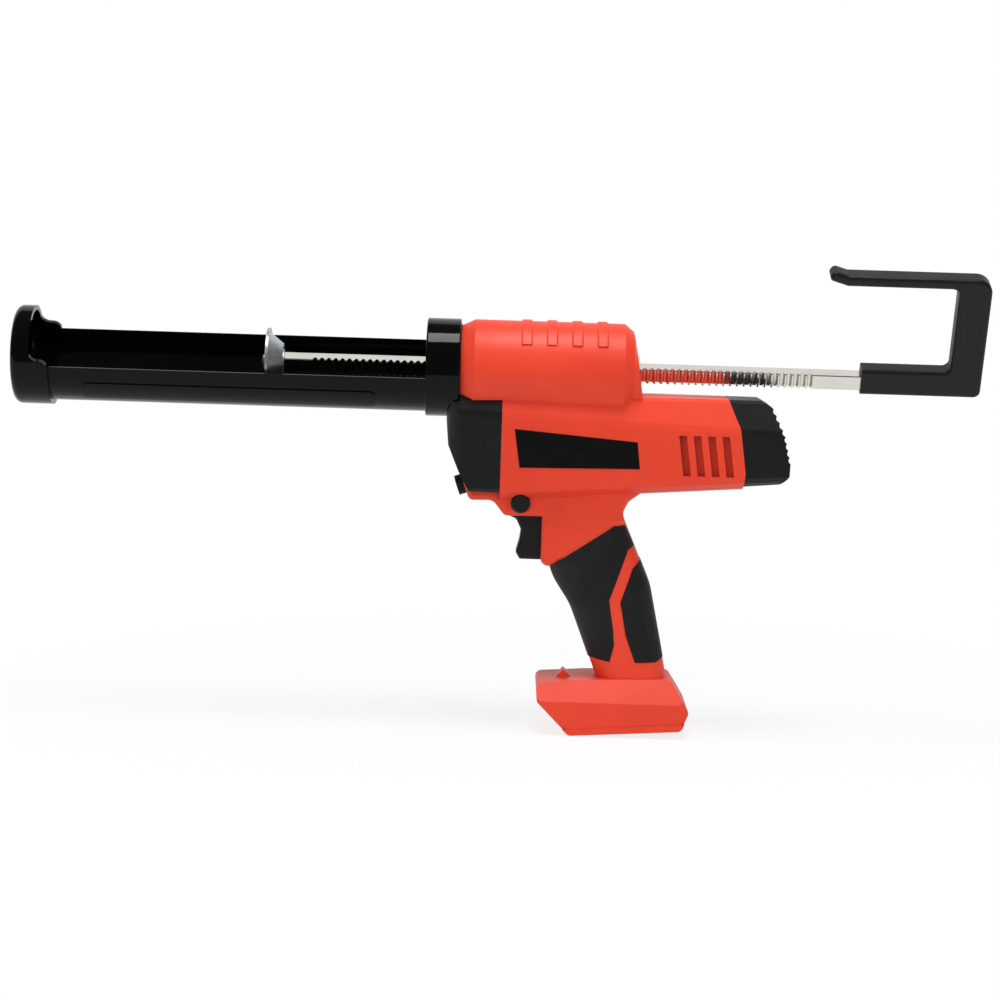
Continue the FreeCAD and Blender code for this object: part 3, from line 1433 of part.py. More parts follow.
def halves(name, shape):
    """The left and the right half of a shape, parted on the middle plane."""
    room = "10 * overrun"
    sides = []
    for side, start in (("left", f"-{room}"), ("right", "0")):
        half = block("half_room", (f"-{room}", start, f"-{room}"), (f"3 * {room}", room, f"2 * {room}"))
        sides.append(common(f"{side}_{name}", shape, half))
    return sides


def grip_pads():
    """Soft pads on the grip, ahead of and behind the slanted stripe, and the recesses they lie in."""
    outer = form("pad_out", GRIP, GRIP_SHARES, "grip_half", "grip_edge_round + pad_proud", "-pad_proud")
    inner = form("pad_in", GRIP, GRIP_SHARES, "grip_half", "grip_inner_round", "pad_depth")
    skin = cut("pad_skin", outer, inner)
    recesses = []
    for end, rows in (("front", FRONT_PAD_SHARES), ("rear", REAR_PAD_SHARES)):
        trim = prism(f"{end}_pad_trim", shares(GRIP, rows))
        recesses.append(cut(f"{end}_pad_recess", trim, inner))
        for side, half in zip(("left", "right"), halves(f"{end}_pad", common(f"{end}_pad_ring", skin, trim))):
            keep(half, f"{side}_{end}_grip_pad")
    return recesses


def label_plate():
    """Bare plate set into the left flank, and the recess it lies in."""
    outer = hull("label_out", TRUNK_ENDS, "-label_proud")
    inner = hull("label_in", TRUNK_ENDS, "label_depth")
    trim = prism("label_trim", shares(TRUNK, LABEL_SHARES))
    ring = common("label_ring", cut("label_skin", outer, inner), trim)
    plate = halves("label", ring)[0]
    keep(held(plate), "label_plate")
    return plate


def covers(trunk, gear_bump, head):
    """Black nose cover under the bump's front and the fluted cap behind the motor."""
    front = hull("nose_hull", NOSE_ENDS)
    side = prism("nose_side", shares(NOSE, NOSE_SHARES))
    plan = new_body("nose_plan")
    pad(plan, outline(plan, "XY_Plane", [
        ("nose_front", "-nose_ridge_half"),
        ("body_front", "-overrun"),
        ("body_front", "overrun"),
        ("nose_front", "nose_ridge_half"),
    ], f"-{FRONT_BELLY}"), FRONT_BELLY, both=False)
    rounded(plan, upright_at(size("nose_front")), "nose_plan_round")
    room = common("nose_room", hull("nose_hull_in", NOSE_ENDS, "wall"),
                  block("nose_reach", ("nose_front + nose_wall", "-overrun", "-3 * overrun"),
                        ("body_front", "2 * overrun", "3 * overrun")))
    collar = rod("collar_room", "collar_radius + parting_gap", "2 * overrun",
                 ("bump_front - 2 * overrun", "0", "0"))
    cover = cut("nose", common("nose_solid", front, side, plan), gear_bump, collar, head, room)
    keep(cover, "nose_cover")

    back = new_body("cap_back")
    points = shares(END, CAP_BACK_SHARES)
    pad(back, outline(back, "XZ_Plane", points), "2 * overrun")
    places = [(number(x), number(z)) for x, z in points]
    for corner in ("cap_black_round", "cap_black_bend"):
        spots = [place for place, row in zip(places, CAP_BACK_SHARES) if row[2] == corner]
        rounded(back, stands_at(spots), corner)
    seam = prism("cap_seam", shares(END, CAP_SEAM_SHARES))
    inside = common("cap_room", hull("cap_hull_in", TRUNK_ENDS, "wall"),
                    block("cap_reach", ("body_front", "-overrun", "-3 * overrun"),
                          ("cap_black_rear - 5 * wall - body_front", "2 * overrun", "3 * overrun")))
    flutes = []
    count = int(size("cap_flute_count"))
    for first, last in CAP_FLUTED_SPANS:
        (x_top, z_top), (x_low, z_low) = points[first], points[last]
        for index in range(count):
            share = (index + 0.5) / count
            x = f"{x_top} + {share} * ({x_low} - ({x_top})) + cap_flute_radius - cap_flute_depth"
            z = f"{z_top} + {share} * ({z_low} - ({z_top}))"
            flutes.append(rod("flute", "cap_flute_radius", "2 * overrun", (x, "-overrun", z), "Y"))
    cap = cut("cap", common("cap_solid", trunk, back, seam), inside, *flutes)
    keep(cap, "motor_end_cap")
    return seam


def housing():
    """Two shells over the gear bump, the motor, the handle and the battery shoe."""
    gear_bump, bump_room = bump()
    trunk = hull("trunk", TRUNK_ENDS)
    trunk_room = hull("trunk_room", TRUNK_ENDS, "wall")
    head = form("head", HEAD, HEAD_SHARES, "head_half", "head_edge_round")
    head_room = form("head_room", HEAD, HEAD_SHARES, "head_half", "", "wall")
    grip = form("grip", GRIP, GRIP_SHARES, "grip_half", "grip_edge_round")
    grip_room = form("grip_room", GRIP, GRIP_SHARES, "grip_half", "grip_room_round", "wall + pad_depth")
    foot, foot_room, channel = shoe()
    outer = fuse("housing_form", gear_bump, trunk, head, grip, foot)
    walls = cut("housing_walls", outer, bump_room, trunk_room, head_room, grip_room, *foot_room, *vents())
    fittings = common("housing_fittings", outer, fuse("housing_pillars", *bosses()))
    seam = covers(trunk, gear_bump, head)
    gap = "(trigger_half + trigger_gap)"
    mouth = block("trigger_mouth", (f"{MOUTH_WALL} - wall", f"-{gap}", f"-{MOUTH_FLOOR} - trigger_gap"),
                  ("3 * wall + trigger_travel", f"2 * {gap}", f"{MOUTH_FLOOR} + trigger_gap - {MOUTH_TOP}"))
    low = ("lock_place", "-overrun", "-lock_drop")
    bolt = rod("lock_hole", "lock_radius + running_gap", "2 * overrun", low, "Y")
    front_hole = rod("front_bush_hole", "rack_bush_radius", "overrun", ("bump_front - overrun / 2", "0", "0"))
    rear_hole = rod("rear_bush_hole", "rear_bush_radius", "overrun", ("bump_rear - overrun / 2", "0", "0"))
    dial_hole = dial_rod("dial_hole", "dial_shaft_radius + running_gap", "-2 * wall", "4 * wall")
    shell = cut(
        "housing", fuse("housing_solid", walls, fittings), seam, mouth, bolt, front_hole, rear_hole,
        dial_hole, case_room(), label_plate(), *grip_pads(), *channel, *screws(),
    )
    for side, half in zip(("left", "right"), halves("shell", shell)):
        keep(half, f"{side}_housing_shell")


# Controls and electrics


def trigger():
    """Concave trigger with the stem that reaches into the switch."""
    frame = ("trigger_front", f"({MOUTH_TOP} + trigger_gap)", "trigger_run",
             f"({MOUTH_FLOOR} - {MOUTH_TOP} - 2 * trigger_gap)")
    points = shares(frame, TRIGGER_SHARES)
    body = new_body("trigger_body")
    pad(body, outline(body, "XZ_Plane", points), "2 * trigger_half")
    places = [(number(x), number(z)) for x, z in points]
    rounded(body, stands_at(places[1:4]), "trigger_bend_round")
    rounded(body, stands_at(places[4:6]), "trigger_edge_round")
    flat = [Vector(x, 0, z) for x, z in places]
    hidden = [(flat[5], flat[6]), (flat[6], flat[7]), (flat[7], flat[0])]
    rounded(body, on_flank(size("trigger_half"), hidden), "trigger_edge_round")
    end = "trigger_front + trigger_run"
    pad(body, outline(body, "XZ_Plane", [
        (f"{end} - trigger_edge_round", "-stem_drop"),
        ("switch_front + trigger_edge_round", "-stem_drop"),
        ("switch_front + trigger_edge_round", "-stem_drop + stem_height"),
        (f"{end} - trigger_edge_round", "-stem_drop + stem_height"),
    ]), "2 * stem_half")
    keep(body, "trigger")
    slack = "trigger_gap"
    socket = block("stem_socket", ("switch_front", f"-stem_half - {slack}", f"-stem_drop - {slack}"),
                   (f"trigger_edge_round + trigger_travel + {slack}", f"2 * (stem_half + {slack})",
                    f"stem_height + 2 * {slack}"))
    keep(cut("switch", switch_box("switch_solid"), socket), "trigger_switch")


def lock_button():
    """Bolt across the handle's head that slides to lock the trigger, slim in the middle."""
    left = "-head_half - lock_proud"
    bolt = turned("lock_bolt", [
        ("0", left),
        ("lock_radius - lock_dome", left),
        ("lock_radius", f"{left} + lock_dome"),
        ("lock_radius", "-lock_neck_half - lock_proud"),
        ("lock_neck_radius", "-lock_neck_half - lock_proud"),
        ("lock_neck_radius", "lock_neck_half"),
        ("lock_radius", "lock_neck_half"),
        ("lock_radius", "head_half - lock_dome"),
        ("lock_radius - lock_dome", "head_half"),
        ("0", "head_half"),
    ], "Y_Axis", "XY_Plane")
    keep(bolt, "lock_button")
    bind(bolt, Placement__Base__x="lock_place - collar_ahead", Placement__Base__z="barrel_height - lock_drop")


def speed_dial():
    """Grooved dial on the chin with its stem, and the potentiometer behind the wall."""
    stem = "wall + dial_shaft_length / 2"
    head = dial_rod("dial_head", "dial_radius", "parting_gap", "dial_height")
    bar = dial_rod("dial_stem", "dial_shaft_radius", f"-({stem})", f"{stem} + 2 * parting_gap")
    turned_dial = fuse("dial", head, bar)
    keep(turned_dial, "speed_dial")
    can = dial_rod("pot_can", "pot_radius", "-wall - pot_length", "pot_length")
    hole = dial_rod("pot_hole", "dial_shaft_radius + running_gap", f"-({stem}) - parting_gap", stem)
    keep(cut("pot", can, hole), "speed_potentiometer")


def electrics():
    """Control board in the shoe, and the terminal block with its blades in the channel."""
    floor = f"-{HOLLOW_TOP} - shoe_hollow_height"
    board = ("board_length", "2 * board_half", "board_thickness")
    keep(block("board", ("board_front", "-board_half", floor), board), "control_board")
    start = "shoe_slot_end - terminal_length"
    under = "shoe_slot_height - terminal_height"
    span = ("terminal_length", "2 * terminal_half", "terminal_height")
    keep(shoe_block("terminal", (start, "-terminal_half", under), span), "terminal_block")
    blades = []
    for index in range(int(size("blade_count"))):
        across = f"({index} - (blade_count - 1) / 2) * blade_step - blade_thickness / 2"
        blades.append(shoe_block("blade", (f"{start} - blade_length", across, f"{under} + blade_thickness"),
                                 ("blade_length", "blade_thickness", "blade_height")))
    keep(fuse("blade_set", *blades), "terminal_blades")


def check_state():
    """Stops if a step of the document failed or a piece isn't a sound solid."""
    failed = [item for item in doc.Objects if "Invalid" in item.State or "Error" in item.State]
    faults = [f"{item.Name} of {'/'.join(owner.Name for owner in item.InList)}" for item in failed]
    for item in parts:
        if item.Shape.isNull() or not item.Shape.isValid() or not item.Shape.Solids:
            faults.append(item.Label)
    if faults:
        raise RuntimeError("failed: " + ", ".join(faults))


for make in (
    front_cap, cartridge_cradle, rear_collar, barrel_socket, rack, push_disc, hook_handle, rack_pinion,
    bevel_pair, shafts, gear_case, motor_train, rack_bushes, trigger, lock_button, speed_dial, electrics,
    housing,
):
    make()
doc.recompute()
check_state()
os.makedirs("parts", exist_ok=True)
for part in parts:
    part.Shape.exportStep(f"parts/{part.Label}.step")
    print(part.Label, len(part.Shape.Solids), round(part.Shape.Volume))
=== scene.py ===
"""Dresses the cordless caulking tool and sets its studio."""

import logging
import math
from dataclasses import dataclass, field
from enum import Enum
from typing import Any, ClassVar, Iterable, Mapping

import bpy
from mathutils import Matrix, Vector


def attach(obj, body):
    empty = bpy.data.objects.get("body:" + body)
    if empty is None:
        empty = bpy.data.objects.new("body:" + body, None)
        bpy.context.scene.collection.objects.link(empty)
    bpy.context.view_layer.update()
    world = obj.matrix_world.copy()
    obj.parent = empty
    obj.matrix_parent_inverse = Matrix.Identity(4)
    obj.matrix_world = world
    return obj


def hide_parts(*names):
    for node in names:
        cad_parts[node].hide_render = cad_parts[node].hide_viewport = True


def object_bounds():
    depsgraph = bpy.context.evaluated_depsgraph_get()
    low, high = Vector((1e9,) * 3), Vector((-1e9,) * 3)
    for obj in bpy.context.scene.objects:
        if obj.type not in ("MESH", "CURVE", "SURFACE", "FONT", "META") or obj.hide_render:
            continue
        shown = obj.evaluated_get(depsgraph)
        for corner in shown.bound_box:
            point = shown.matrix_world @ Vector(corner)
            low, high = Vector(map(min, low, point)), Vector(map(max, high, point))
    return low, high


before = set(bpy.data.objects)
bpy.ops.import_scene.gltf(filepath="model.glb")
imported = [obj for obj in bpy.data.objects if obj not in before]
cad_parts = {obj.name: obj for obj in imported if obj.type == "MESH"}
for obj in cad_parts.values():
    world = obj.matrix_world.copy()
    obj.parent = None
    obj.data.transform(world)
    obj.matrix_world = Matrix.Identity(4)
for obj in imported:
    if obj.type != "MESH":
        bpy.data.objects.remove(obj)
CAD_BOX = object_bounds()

LOG = logging.getLogger("caulking_tool")
Colour = tuple[float, float, float]
Band = tuple[float, float]
Triple = tuple[float, float, float]
Settings = Mapping[str, Any]
Inputs = Mapping[Any, Any]

WHITE: Colour = (1.0, 1.0, 1.0)
WHITE_STRENGTH = 1.0

# The collar's middle on the barrel axis, in metres from the shared origin, as every length in this file is.
BARREL = Vector((-0.1098, 0.0, 0.2082))


class Blend(Enum):
    """Ways to mix two colours."""

    MIX = "MIX"
    MULTIPLY = "MULTIPLY"


@dataclass(frozen=True)
class Speckle:
    """How fine a noise field is."""

    scale: float
    detail: float = 2.0
    rough: float = 0.5


class Signal:
    """A socket of a shader tree that can be written in Python expressions."""

    def __init__(self, graph: "Graph", socket: bpy.types.NodeSocket) -> None:
        """Keeps the socket and the graph it belongs to."""
        self.graph = graph
        self.socket = socket

    def _math(self, operation: str, first: Any, second: Any = 0.0) -> "Signal":
        """One Math node on two values."""
        return self.graph.node("ShaderNodeMath", {"operation": operation}, {0: first, 1: second})

    def __add__(self, other: Any) -> "Signal":
        """Sum."""
        return self._math("ADD", self, other)

    __radd__ = __add__

    def __mul__(self, other: Any) -> "Signal":
        """Product."""
        return self._math("MULTIPLY", self, other)

    __rmul__ = __mul__

    def __sub__(self, other: Any) -> "Signal":
        """Difference."""
        return self._math("SUBTRACT", self, other)

    def __rsub__(self, other: Any) -> "Signal":
        """Difference from a value on the left."""
        return self._math("SUBTRACT", other, self)

    def __abs__(self) -> "Signal":
        """Size without sign."""
        return self._math("ABSOLUTE", self)

    def ramp(self, low: float, high: float, start: float, end: float) -> "Signal":
        """The value eased from one range to another.

        Args:
            low: Value that gives the start.
            high: Value that gives the end.
            start: Result at the low value.
            end: Result at the high value.

        Returns:
            The eased value.
        """
        return self.graph.node(
            "ShaderNodeMapRange", {"interpolation_type": "SMOOTHSTEP"},
            {"Value": self, "From Min": low, "From Max": high, "To Min": start, "To Max": end},
        )

    def spread(self, band: Band, middle: float, swing: Band) -> "Signal":
        """The value eased over a band to a middle with a swing at either end.

        Args:
            band: Values at which the swing starts and ends.
            middle: What the swing is added to.
            swing: What is added at the start and at the end.

        Returns:
            The eased value.
        """
        start, end = swing
        return self.ramp(*band, middle + start, middle + end)


class NodeTree:
    """A tree of any kind, to which every node is added in one way."""

    def __init__(self, tree: bpy.types.NodeTree) -> None:
        """Keeps the tree."""
        self.tree = tree

    def feed(self, socket: bpy.types.NodeSocket, value: Any) -> None:
        """Sets a socket to a value or links it.

        Args:
            socket: The input to feed.
            value: A plain value, a signal or a socket, or a list of them where the input takes several.
        """
        if isinstance(value, list):
            for one in value:
                self.feed(socket, one)
        elif isinstance(value, Signal):
            self.tree.links.new(value.socket, socket)
        elif isinstance(value, bpy.types.NodeSocket):
            self.tree.links.new(value, socket)
        elif socket.type == "RGBA":
            socket.default_value = (*value, 1.0)
        else:
            socket.default_value = value

    def add(self, kind: str, settings: Settings | None = None,
            inputs: Inputs | None = None) -> bpy.types.Node:
        """Adds any node.

        Args:
            kind: The node's type.
            settings: Properties that are set first.
            inputs: Values or links by socket name or number.

        Returns:
            The node.
        """
        made = self.tree.nodes.new(kind)
        for key, value in (settings or {}).items():
            setattr(made, key, value)
        for key, value in (inputs or {}).items():
            self.feed(made.inputs[key], value)
        return made


class Graph(NodeTree):
    """The shader tree of a material or a world, empty at the start."""

    def __init__(self, owner: bpy.types.Material | bpy.types.World) -> None:
        """Clears the owner's tree.

        Args:
            owner: The material or world.
        """
        owner.use_nodes = True
        super().__init__(owner.node_tree)
        self.tree.nodes.clear()

    def node(self, kind: str, settings: Settings | None = None, inputs: Inputs | None = None,
             out: int | str = 0) -> Signal:
        """Adds any node and hands back the chosen one of its outputs."""
        return Signal(self, self.add(kind, settings, inputs).outputs[out])

    def seen(self, *ways: str) -> Signal:
        """One for rays of the named ways, else nought.

        Args:
            *ways: Names of the light path's outputs.

        Returns:
            The sum of those outputs.
        """
        path = self.add("ShaderNodeLightPath")
        first, *others = [Signal(self, path.outputs[way]) for way in ways]
        return sum(others, first)

    def blended(self, share: Any, first: Signal, second: Signal) -> Signal:
        """Two shaders mixed by a share."""
        return self.node("ShaderNodeMixShader", inputs={0: share, 1: first, 2: second})


class FinishGraph(Graph):
    """A material's tree with one Principled shader."""

    def __init__(self, name: str) -> None:
        """Makes the material with its shader and output.

        Args:
            name: The material's name.
        """
        self.material = bpy.data.materials.new(name)
        super().__init__(self.material)
        self.shader = self.add("ShaderNodeBsdfPrincipled")
        self.output = self.add("ShaderNodeOutputMaterial")
        self.finish_with(Signal(self, self.shader.outputs["BSDF"]))

    def finish_with(self, shader: Signal) -> None:
        """Puts a shader on the surface."""
        self.feed(self.output.inputs["Surface"], shader)

    def place(self) -> Signal:
        """The surface's place in the shared frame, in metres."""
        return self.node("ShaderNodeTexCoord", out="Object")

    def axes(self) -> tuple[Signal, Signal, Signal]:
        """The three parts of the surface's place."""
        split = self.add("ShaderNodeSeparateXYZ", inputs={0: self.place()})
        return tuple(Signal(self, part) for part in split.outputs)

    def stretched(self, scale: Triple) -> Signal:
        """The place scaled by an amount per axis, for patterns with a run."""
        return self.node("ShaderNodeMapping", inputs={"Vector": self.place(), "Scale": scale})

    def noise(self, speckle: Speckle, vector: Signal | None = None) -> Signal:
        """A noise field between nought and one.

        Args:
            speckle: How fine it is.
            vector: Where it is read, if not at the surface's place.

        Returns:
            The field.
        """
        return self.node("ShaderNodeTexNoise", inputs={
            "Vector": vector or self.place(),
            "Scale": speckle.scale, "Detail": speckle.detail, "Roughness": speckle.rough,
        })

    def cells(self, scale: float) -> Signal:
        """Distance to the nearest cell centre of a Voronoi field."""
        return self.node("ShaderNodeTexVoronoi", inputs={"Vector": self.place(), "Scale": scale})

    def tint(self, first: Any, second: Any, share: Any, way: Blend = Blend.MIX) -> Signal:
        """Two colours mixed by a share.

        Args:
            first: Colour at nought.
            second: Colour at one.
            share: How much of the second there is.
            way: How they mix.

        Returns:
            The mixed colour.
        """
        settings = {"data_type": "RGBA", "blend_type": way.value}
        share_socket, first_socket, second_socket, mixed_socket = 0, 6, 7, 2
        inputs = {share_socket: share, first_socket: first, second_socket: second}
        return self.node("ShaderNodeMix", settings, inputs, mixed_socket)

    def patched(self, first: Any, second: Any, pattern: Signal, band: Band, most: float) -> Signal:
        """One colour with another that shows through where a pattern is high.

        Args:
            first: The main colour.
            second: The colour of the patches.
            pattern: What spreads the patches.
            band: Values of the pattern over which they come in.
            most: Their largest share.

        Returns:
            The patched colour.
        """
        return self.tint(first, second, pattern.ramp(*band, 0.0, most))

    def surface(self, **sockets: Any) -> bpy.types.Material:
        """Sets the shader's sockets by name, with underscores for blanks.

        Args:
            **sockets: Values or signals.

        Returns:
            The finished material.
        """
        for name, value in sockets.items():
            self.feed(self.shader.inputs[name.replace("_", " ")], value)
        return self.material

    def bump(self, height: Signal, distance: float, strength: float) -> Signal:
        """A normal from a height field.

        Args:
            height: The field.
            distance: Depth of the relief in metres.
            strength: Share of the relief.

        Returns:
            The bent normal.
        """
        return self.node("ShaderNodeBump", inputs={
            "Height": height, "Distance": distance, "Strength": strength,
        })


@dataclass(frozen=True)
class MouldedShell:
    """Satin coloured plastic with a spark-eroded grain and the line where two shells meet."""

    name: str
    colour: Colour
    deep: Colour
    roughness: float = 0.42
    gloss: float = 0.3
    cloud: Speckle = Speckle(22.0, 3.0)
    cloud_band: Band = (0.35, 0.8)
    deep_share: float = 0.35
    rough_band: Band = (0.3, 0.8)
    rough_swing: Band = (-0.04, 0.06)
    grain: Speckle = Speckle(2600.0)
    grain_rough: float = 0.06
    grain_height: float = 0.35
    seam_shade: Colour = (0.62, 0.45, 0.42)
    seam_edges: Band = (0.00008, 0.00022)
    relief: float = 0.00012
    relief_share: float = 0.55

    def material(self) -> bpy.types.Material:
        """Builds the finish.

        Returns:
            Its material.
        """
        graph = FinishGraph(self.name)
        cloud = graph.noise(self.cloud)
        grain = graph.noise(self.grain)
        rough = cloud.spread(self.rough_band, self.roughness, self.rough_swing) + grain * self.grain_rough
        _, across, _ = graph.axes()
        line = abs(across).ramp(*self.seam_edges, 1.0, 0.0)
        base = graph.patched(self.colour, self.deep, cloud, self.cloud_band, self.deep_share)
        base = graph.tint(base, self.seam_shade, line, Blend.MULTIPLY)
        normal = graph.bump(grain * self.grain_height - line, self.relief, self.relief_share)
        return graph.surface(Base_Color=base, Roughness=rough, Normal=normal, Specular_IOR_Level=self.gloss)


@dataclass(frozen=True)
class GrainedPlastic:
    """Dark moulded plastic with a fine leather-like grain."""

    name: str
    colour: Colour
    worn: Colour
    roughness: float = 0.48
    gloss: float = 0.3
    dust: Speckle = Speckle(38.0, 4.0, 0.65)
    dust_band: Band = (0.45, 0.85)
    worn_share: float = 0.6
    rough_band: Band = (0.3, 0.8)
    rough_swing: Band = (-0.05, 0.08)
    grain: float = 1500.0
    grain_rough: float = 0.05
    relief: float = 0.00010
    relief_share: float = 0.5

    def material(self) -> bpy.types.Material:
        """Builds the finish.

        Returns:
            Its material.
        """
        graph = FinishGraph(self.name)
        cells = graph.cells(self.grain)
        dust = graph.noise(self.dust)
        base = graph.patched(self.colour, self.worn, dust, self.dust_band, self.worn_share)
        rough = dust.spread(self.rough_band, self.roughness, self.rough_swing) - cells * self.grain_rough
        normal = graph.bump(cells, self.relief, self.relief_share)
        return graph.surface(Base_Color=base, Roughness=rough, Normal=normal, Specular_IOR_Level=self.gloss)


@dataclass(frozen=True)
class SoftGrip:
    """Soft moulded rubber with small dots and a dry bloom."""

    name: str
    colour: Colour
    bloom: Colour
    roughness: float = 0.62
    gloss: float = 0.3
    handled: Speckle = Speckle(30.0, 3.0)
    bloom_band: Band = (0.4, 0.8)
    bloom_share: float = 0.7
    rough_band: Band = (0.3, 0.75)
    rough_swing: Band = (0.06, -0.08)
    dots: float = 1900.0
    relief: float = 0.00012
    relief_share: float = 0.6

    def material(self) -> bpy.types.Material:
        """Builds the finish.

        Returns:
            Its material.
        """
        graph = FinishGraph(self.name)
        handled = graph.noise(self.handled)
        base = graph.patched(self.colour, self.bloom, handled, self.bloom_band, self.bloom_share)
        rough = handled.spread(self.rough_band, self.roughness, self.rough_swing)
        normal = graph.bump(graph.cells(self.dots), self.relief, self.relief_share)
        return graph.surface(Base_Color=base, Roughness=rough, Normal=normal, Specular_IOR_Level=self.gloss)


@dataclass(frozen=True)
class Enamel:
    """Gloss stoving enamel on sheet steel, with a faint orange-peel skin."""

    name: str
    colour: Colour
    dusty: Colour
    roughness: float = 0.06
    gloss: float = 0.14
    handled: Speckle = Speckle(40.0, 4.0, 0.7)
    rough_band: Band = (0.45, 0.8)
    rough_swing: Band = (0.0, 0.08)
    dust: Speckle = Speckle(900.0)
    dust_band: Band = (0.30, 0.5)
    dust_share: float = 0.4
    peel: Speckle = Speckle(260.0, 1.0)
    relief: float = 0.00008
    relief_share: float = 0.2

    def material(self) -> bpy.types.Material:
        """Builds the finish.

        Returns:
            Its material.
        """
        graph = FinishGraph(self.name)
        handled = graph.noise(self.handled)
        dust = graph.noise(self.dust) * handled
        base = graph.patched(self.colour, self.dusty, dust, self.dust_band, self.dust_share)
        rough = handled.spread(self.rough_band, self.roughness, self.rough_swing)
        normal = graph.bump(graph.noise(self.peel), self.relief, self.relief_share)
        return graph.surface(Base_Color=base, Roughness=rough, Normal=normal, Specular_IOR_Level=self.gloss)


@dataclass(frozen=True)
class WorkedSteel:
    """Bright metal with marks left along the way it was worked."""

    name: str
    colour: Colour
    dark: Colour
    roughness: float = 0.24
    run: Triple = (30.0, 2600.0, 2600.0)
    stain: float = 0.3
    cloud: Speckle = Speckle(55.0, 4.0, 0.65)
    cloud_band: Band = (0.42, 0.8)
    marks: Speckle = Speckle(1.0, 3.0)
    mark_band: Band = (0.55, 0.85)
    rough_band: Band = (0.3, 0.7)
    rough_swing: Band = (-0.04, 0.08)
    relief: float = 0.00002
    relief_share: float = 0.4

    def material(self) -> bpy.types.Material:
        """Builds the finish.

        Returns:
            Its material.
        """
        graph = FinishGraph(self.name)
        marks = graph.noise(self.marks, graph.stretched(self.run))
        cloud = graph.noise(self.cloud)
        base = graph.patched(self.colour, self.dark, cloud, self.cloud_band, self.stain)
        base = graph.patched(base, self.dark, marks, self.mark_band, self.stain)
        rough = marks.spread(self.rough_band, self.roughness, self.rough_swing)
        normal = graph.bump(marks, self.relief, self.relief_share)
        return graph.surface(Base_Color=base, Roughness=rough, Normal=normal, Metallic=1.0)


@dataclass(frozen=True)
class CastMetal:
    """Rough cast or plated metal with a crystalline skin."""

    name: str
    colour: Colour
    dark: Colour
    roughness: float = 0.4
    skin: Speckle = Speckle(700.0, 3.0)
    rough_band: Band = (0.3, 0.7)
    rough_swing: Band = (-0.06, 0.08)
    spangle: float = 320.0
    spangle_band: Band = (0.1, 0.9)
    spangle_share: float = 0.5
    relief: float = 0.00012
    relief_share: float = 0.4

    def material(self) -> bpy.types.Material:
        """Builds the finish.

        Returns:
            Its material.
        """
        graph = FinishGraph(self.name)
        skin = graph.noise(self.skin)
        spangle = graph.cells(self.spangle)
        base = graph.patched(self.colour, self.dark, spangle, self.spangle_band, self.spangle_share)
        rough = skin.spread(self.rough_band, self.roughness, self.rough_swing)
        normal = graph.bump(skin, self.relief, self.relief_share)
        return graph.surface(Base_Color=base, Roughness=rough, Normal=normal, Metallic=1.0)


@dataclass(frozen=True)
class PlateFace:
    """Plain gloss plate with faint wiping marks."""

    name: str
    colour: Colour
    scuffed: Colour
    roughness: float = 0.14
    gloss: float = 0.3
    film: Speckle = Speckle(120.0)
    film_band: Band = (0.3, 0.8)
    film_swing: Band = (0.0, 0.08)
    scuff: Speckle = Speckle(1.0, 3.0)
    scuff_run: Triple = (90.0, 700.0, 1400.0)
    scuff_band: Band = (0.6, 0.85)
    scuff_share: float = 0.5
    scuff_rough_band: Band = (0.62, 0.8)
    scuff_rough: float = 0.10
    relief: float = 0.00004
    relief_share: float = 0.3

    def material(self) -> bpy.types.Material:
        """Builds the finish.

        Returns:
            Its material.
        """
        graph = FinishGraph(self.name)
        film = graph.noise(self.film)
        scuff = graph.noise(self.scuff, graph.stretched(self.scuff_run))
        base = graph.patched(self.colour, self.scuffed, scuff, self.scuff_band, self.scuff_share)
        smeared = film.spread(self.film_band, self.roughness, self.film_swing)
        rough = smeared + scuff.ramp(*self.scuff_rough_band, 0.0, self.scuff_rough)
        normal = graph.bump(film, self.relief, self.relief_share)
        return graph.surface(Base_Color=base, Roughness=rough, Normal=normal, Specular_IOR_Level=self.gloss)


RED = MouldedShell("red_moulding", colour=(0.76, 0.052, 0.020), deep=(0.56, 0.030, 0.011))
BLACK = GrainedPlastic("black_moulding", colour=(0.0055, 0.0055, 0.0058), worn=(0.010, 0.010, 0.0105))
HOOK_BLACK = GrainedPlastic("hook_moulding", colour=(0.0058, 0.0058, 0.0060), worn=(0.010, 0.010, 0.0105),
                            roughness=0.5, grain=1100.0)
INNER_BLACK = GrainedPlastic("inner_moulding", colour=(0.014, 0.014, 0.015), worn=(0.03, 0.03, 0.03),
                             roughness=0.6, grain=900.0)
RUBBER = SoftGrip("grip_rubber", colour=(0.0065, 0.0064, 0.0066), bloom=(0.0115, 0.0115, 0.012))
ENAMEL = Enamel("black_enamel", colour=(0.0014, 0.0015, 0.0016), dusty=(0.012, 0.012, 0.0125))
PLATE = PlateFace("bare_plate", colour=(0.0030, 0.0029, 0.0028), scuffed=(0.014, 0.014, 0.015))
BRIGHT = WorkedSteel("bright_steel", colour=(0.70, 0.68, 0.63), dark=(0.45, 0.44, 0.42), roughness=0.15,
                     run=(40.0, 900.0, 900.0), stain=0.2, relief_share=0.2)
ZINC = CastMetal("zinc_plate", colour=(0.58, 0.60, 0.62), dark=(0.46, 0.48, 0.50), skin=Speckle(500.0, 3.0),
                 relief=0.00003, spangle_share=0.35)
# Cast alloy painted near black as painted shade: the barrel socket shows in the gap behind the collar, and
# the dark colour stands in for the shade there.
ALLOY_PAINTED_DARK = CastMetal("alloy_painted_shade", colour=(0.030, 0.030, 0.032), dark=(0.018, 0.018, 0.019), roughness=0.5,
                   skin=Speckle(900.0, 3.0), relief=0.00006)
GEAR = WorkedSteel("gear_steel", colour=(0.42, 0.42, 0.43), dark=(0.20, 0.20, 0.21), roughness=0.34,
                   run=(900.0, 900.0, 60.0))
RING = WorkedSteel("bearing_steel", colour=(0.70, 0.70, 0.72), dark=(0.45, 0.45, 0.47), roughness=0.14,
                   run=(1800.0, 300.0, 300.0))
